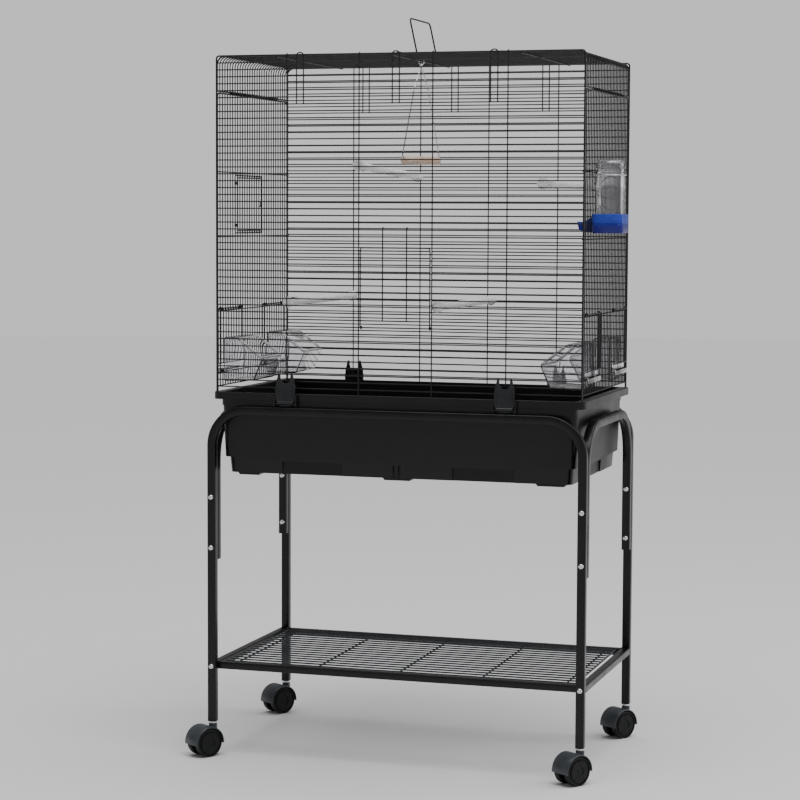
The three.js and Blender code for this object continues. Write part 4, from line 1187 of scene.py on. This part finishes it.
def makeLatch(name, xSide, ySide):
    shape = bmesh.new()
    x, y, foot = xSide * latch["x"], ySide * latch["y"], latch["foot"]
    place = Matrix((
        (1, 0, 0, x),
        (0, 0, ySide, y - ySide * latch["thick"] / 2),
        (0, 1, 0, foot),
        (0, 0, 0, 1),
    ))
    verts = cutOut(shape, latch["outline"], place, latch["thick"])
    for vert in verts:
        # the foot rolls back and the prongs' tips lean in
        rise = vert.co.z - foot
        vert.co.y -= ySide * (0.9 * max(0, (12 - rise) / 12) ** 2 + 0.5 * max(0, (rise - 40) / 18))
    pivot = latch["pivot"]
    half, radius = latch["pin"]
    rod(shape, (x - half, y, pivot), (x + half, y, pivot), radius, 12)
    half, radius = latch["roll"]
    rollY, rollZ = y + ySide * 0.3, pivot + 1.6
    rod(shape, (x - half, rollY, rollZ), (x + half, rollY, rollZ), radius, 16)
    ridge = y + ySide * 2.4
    for dx in (-latch["ridge"], latch["ridge"]):
        start, end = (x + dx, ridge, foot + 14), (x + dx, ridge - ySide * 0.3, foot + 36)
        bar(shape, start, end, 1.6, 0.8, 0.35, 2)
    finishPiece(f"latch_{name}", shape, f"latch_{name}", latchPlastic,
                [f"base_latch_{name}"], 38, 0.8)


for name, xSide, ySide in corners:
    makeLatch(name, xSide, ySide)
print("latches")

# Stand: bent square tube
stand = {
    "half": 7.5,
    "round": 2.2,
    "wall": 1.2,
    "frontPath": ((-334, 60), (-334, 615.5), (334, 615.5), (334, 60)),
    "frontY": 188.6,
    "frontBend": 62.5,
    "sideX": 334,
    "sidePath": ((-173.3, 349), (-173.3, 603.5), (173.3, 603.5), (173.3, 349)),
    "sideBend": 77.5,
}


def makeHoop(name, path, bend):
    shape = bmesh.new()
    half = stand["half"]
    ring = squareRing(shape, half, half, stand["round"], Matrix.Translation(path[0]))
    last = sweep(shape, ring, path, bend, 12)
    hollowEnd(shape, ring, stand["wall"], (0, 0, 14))
    hollowEnd(shape, last, stand["wall"], (0, 0, 14))
    finishPiece(f"{name}_tube", shape, "stand", tubeCoat, [name])


for name, y in (("front_hoop", -stand["frontY"]), ("rear_hoop", stand["frontY"])):
    makeHoop(name, [(x, y, z) for x, z in stand["frontPath"]], stand["frontBend"])
for name, x in (("left_hoop", -stand["sideX"]), ("right_hoop", stand["sideX"])):
    makeHoop(name, [(x, y, z) for y, z in stand["sidePath"]], stand["sideBend"])

# Shelf: a tube frame with a wire grid let into it
shelf = {
    "outer": (341.5, 180.8),
    "centre": 159,
    "tube": 13,
    "sideTube": 15,
    "grid": 164,
    "gridHalf": 160,
    "pitch": 20,
    "edge": 319.5,
    "wire": 1.5,
    "ties": (-300, -150, 0, 150, 300),
    "tieHeight": 160.8,
    "tieReach": 168.8,
}


def makeShelf():
    shape = bmesh.new()
    wide, deep = shelf["outer"]
    z, across = shelf["centre"], shelf["tube"]
    for side in (-1, 1):
        x = side * (wide - shelf["sideTube"] / 2)
        bar(shape, (x, -deep, z), (x, deep, z), shelf["sideTube"], across, 2)
        y = side * (deep - across / 2)
        bar(shape, (-wide + 14, y, z), (wide - 14, y, z), across, across, 2)
        for end in (-1, 1):
            # weld bead where the bars meet
            x, y = end * (wide - shelf["sideTube"]), side * (deep - across / 2)
            top = z + across / 2 - 0.6
            rod(shape, (x, y - 5.5, top), (x, y + 5.5, top), 1.4, 8)
    finishPiece("shelf_frame", shape, "stand", tubeCoat, ["shelf"])
    shape = bmesh.new()
    edge, half = shelf["edge"], shelf["gridHalf"]
    grid, wire = shelf["grid"], shelf["wire"]
    for i in range(17):
        y = -half + i * shelf["pitch"]
        rod(shape, (-edge, y, grid), (edge, y, grid), wire, 8)
    for side in (-1, 1):
        rod(shape, (side * edge, -half, grid), (side * edge, half, grid), wire, 8)
    for x in shelf["ties"]:
        reach = shelf["tieReach"]
        rod(shape, (x, -reach, shelf["tieHeight"]), (x, reach, shelf["tieHeight"]), wire, 8)
    finishPiece("shelf_grid", shape, "stand", gridCoat, ["shelf"])


makeShelf()
print("stand and shelf")

# Bolts: domed heads with a socket, nuts and washers
bolt = {
    "x": 334,
    "heights": {"upper": 461, "middle": 371, "shelf": 159},
    "shank": 2.4,
    "outer": 196.4,
    "inner": 165.5,
}
headProfile = (
    (0, 1.3), (1.9, 1.3), (2.1, 3.1), (3.0, 2.9), (4.0, 2.1), (4.6, 0.9), (4.6, 0), (0, 0),
)


def makeBolt(name, x, z, headY, headOut, nutY):
    shape = bmesh.new()
    place = Matrix.Translation((x, headY, z)) @ facing((0, headOut, 0))
    lathe(shape, headProfile, place, 18)
    far = nutY if nutY is not None else headY - headOut * 29
    rod(shape, (x, headY, z), (x, far - headOut * 1.0, z), bolt["shank"], 12)
    if nutY is not None:
        rod(shape, (x, nutY, z), (x, nutY - headOut * 3.0, z), 4.6, 6)
        rod(shape, (x, nutY + headOut * 0.1, z), (x, nutY - headOut * 0.7, z), 5, 20)
        rod(shape, (x, nutY - headOut * 3.0, z), (x, nutY - headOut * 3.2, z), 2.6, 12, 2.0)
    finishPiece(f"{name}_zinc", shape, "stand", zincPlate, [name])


for name, xSide, ySide in corners:
    x = xSide * bolt["x"]
    faces = sorted((ySide * bolt["outer"], ySide * bolt["inner"]))
    for level in ("upper", "middle"):
        makeBolt(f"bolt_{level}_{name}", x, bolt["heights"][level], faces[0], -1, faces[1])
    makeBolt(f"bolt_shelf_{name}", x, bolt["heights"]["shelf"], ySide * bolt["outer"], ySide, None)
print("bolts")

# Casters: twin discs under a hood, each turned the same way
caster = {
    "x": 334,
    "y": 188.6,
    "turn": math.radians(-34),
    "trail": 18,
    "radius": 25,
    "hoodMiddle": 28.4,
    "hoodHalf": 20,
    "sweep": math.radians(5),
    "webRadius": 28,
    "webWidth": 12.4,
    "bossRadius": 9,
}


def makeCaster(name, xSide, ySide):
    stem = Matrix.Translation((xSide * caster["x"], ySide * caster["y"], 0)) @ Matrix.Rotation(
        caster["turn"], 4, "Z")
    axle = stem @ Matrix.Translation((0, -caster["trail"], caster["radius"]))
    shape = bmesh.new()
    lathe(
        shape,
        [(0, 35), (3.4, 35), (4, 35.6), (4, 56.1), (6, 56.3), (6.5, 56.8), (6.5, 59.2), (6, 59.6),
         (5.4, 59.8), (5.4, 87), (4.6, 88), (0, 88)],
        stem, 24)
    finishPiece(f"caster_stem_{name}_zinc", shape, "stand", zincPlate, [f"caster_stem_{name}"])

    shape = bmesh.new()
    ring = squareRing(
        shape, caster["hoodHalf"], 1.1, 1.0,
        Matrix.Rotation(-caster["sweep"], 4, "X") @ Matrix.Translation((0, caster["hoodMiddle"], 0)), 2)
    last = spinRing(shape, ring, (0, 0, 0), (1, 0, 0), math.pi + 2 * caster["sweep"], 28)
    capRing(shape, ring)
    capRing(shape, last)
    arch = list(shape.verts)
    for vert in arch:
        # the hood's shoulders fall away towards the cheeks
        edge = max(0, (abs(vert.co.x) - 17) / 3)
        vert.co.y *= 1 - 0.03 * edge
        vert.co.z *= 1 - 0.03 * edge
    verts = len(shape.verts)
    bmesh.ops.create_cone(
        shape, cap_ends=True, segments=36, radius1=caster["webRadius"],
        radius2=caster["webRadius"], depth=caster["webWidth"],
        matrix=Matrix.Rotation(math.pi / 2, 4, "Y"))
    fresh = list(shape.verts)[verts:]
    faces = eachOnce(face for vert in fresh for face in vert.link_faces)
    edges = eachOnce(edge for vert in fresh for edge in vert.link_edges)
    cutWeb = bmesh.ops.bisect_plane(
        shape, geom=fresh + edges + faces, plane_co=(0, 0, -1), plane_no=(0, 0, -1),
        clear_outer=True)["geom_cut"]
    bmesh.ops.edgeloop_fill(
        shape, edges=[item for item in cutWeb if isinstance(item, bmesh.types.BMEdge)])
    rod(shape, (-6.1, 0, 0), (6.1, 0, 0), caster["bossRadius"], 24)
    bmesh.ops.transform(shape, matrix=axle, verts=shape.verts)
    lathe(shape, [(4.4, 45), (7.5, 45), (7.5, 55), (6.8, 56), (4.4, 56)], stem, 24)
    finishPiece(f"caster_hood_{name}_shell", shape, f"caster_hood_{name}",
                hoodPlastic, [f"caster_hood_{name}"], 38)

    shape = bmesh.new()
    profile = [
        (0, 18.7), (3.2, 18.7), (3.8, 18.2), (8.4, 18.2), (9, 19.3), (10.4, 19.5), (19.2, 18.9),
        (19.8, 17.2), (21.4, 17.2), (22, 18.8), (23.8, 18.8), (24.8, 18), (25, 17), (25, 8.4),
        (24.4, 7.2), (23.6, 6.9), (0, 6.9),
    ]
    for end in (-1, 1):
        lathe(shape, profile, Matrix.Rotation(end * math.pi / 2, 4, "Y"), 40)
    for end in (-1, 1):
        for i in range(5):
            # shallow spokes on the disc's face
            spin = Matrix.Rotation(i * math.tau / 5, 4, "X")
            start = spin @ Vector((end * 18.9, 0, 10.2))
            stop = spin @ Vector((end * 18.9, 0, 18.6))
            rod(shape, start, stop, 0.8, 6)
    rod(shape, (-7, 0, 0), (7, 0, 0), 3, 16)
    bmesh.ops.transform(shape, matrix=axle, verts=shape.verts)
    finishPiece(f"caster_wheels_{name}_discs", shape, f"caster_wheels_{name}",
                wheelPlastic, [f"caster_wheels_{name}"])


for name, xSide, ySide in corners:
    makeCaster(name, xSide, ySide)
print("casters")

# Floor, lights and camera
floor = bmesh.new()
bmesh.ops.create_circle(floor, cap_ends=True, segments=96, radius=14)
floorMesh = bpy.data.meshes.new("floor")
floor.to_mesh(floorMesh)
floor.free()
floorPiece = bpy.data.objects.new("floor", floorMesh)
scene.collection.objects.link(floorPiece)
pale = bpy.data.materials.new("pale floor")
pale.use_nodes = True
pale.node_tree.nodes["Principled BSDF"].inputs["Base Color"].default_value = (0.78, 0.78, 0.78, 1)
pale.node_tree.nodes["Principled BSDF"].inputs["Roughness"].default_value = 0.9
floorMesh.materials.append(pale)

world = bpy.data.worlds.new("studio")
scene.world = world
world.use_nodes = True
nodes, links = world.node_tree.nodes, world.node_tree.links
backdrop = nodes["Background"]
backdrop.inputs["Color"].default_value = (0.74, 0.74, 0.74, 1)
room = nodes.new("ShaderNodeBackground")  # what the surfaces see, dimmer than the backdrop
room.inputs["Color"].default_value = (0.27, 0.27, 0.276, 1)
rays = nodes.new("ShaderNodeLightPath")
choice = nodes.new("ShaderNodeMixShader")
links.new(rays.outputs["Is Camera Ray"], choice.inputs["Fac"])
links.new(room.outputs["Background"], choice.inputs[1])
links.new(backdrop.outputs["Background"], choice.inputs[2])
links.new(choice.outputs["Shader"], nodes["World Output"].inputs["Surface"])

sun = bpy.data.lights.new("overhead", "SUN")
sun.energy = 2.1
sun.angle = math.radians(70)
overhead = bpy.data.objects.new("overhead", sun)
scene.collection.objects.link(overhead)
overhead.matrix_world = Matrix.Rotation(math.radians(14), 4, "Y")

lights = {
    "top softbox": {"at": (0.2, -0.9, 3.0), "to": (0, 0, 0.7), "size": (2.4, 1.2), "power": 30},
    "right key": {"at": (3.4, 1.6, 1.5), "to": (0, 0, 0.7), "size": (1.2, 1.8), "power": 26},
}
for name, setting in lights.items():
    lamp = bpy.data.lights.new(name, "AREA")
    lamp.shape = "RECTANGLE"
    lamp.size, lamp.size_y = setting["size"]
    lamp.energy = setting["power"]
    holder = bpy.data.objects.new(name, lamp)
    scene.collection.objects.link(holder)
    aim = Vector(setting["to"]) - Vector(setting["at"])
    holder.matrix_world = Matrix.Translation(setting["at"]) @ aim.to_track_quat(
        "-Z", "Y").to_matrix().to_4x4()

view = {
    "at": (1.1837, -3.9375, 0.9599),
    "yaw": math.radians(17.35),
    "pitch": math.radians(4.61),
    "roll": math.radians(0.25),
    "lens": 103.85,
}
camera = bpy.data.cameras.new("camera")
camera.lens = view["lens"]
camera.sensor_width = 36
camera.clip_end = 60
cameraObject = bpy.data.objects.new("camera", camera)
scene.collection.objects.link(cameraObject)
cameraObject.matrix_world = (
    Matrix.Translation(view["at"])
    @ Matrix.Rotation(view["yaw"], 4, "Z")
    @ Matrix.Rotation(math.pi / 2 - view["pitch"], 4, "X")
    @ Matrix.Rotation(view["roll"], 4, "Z")
)
scene.camera = cameraObject

print("stage ready")
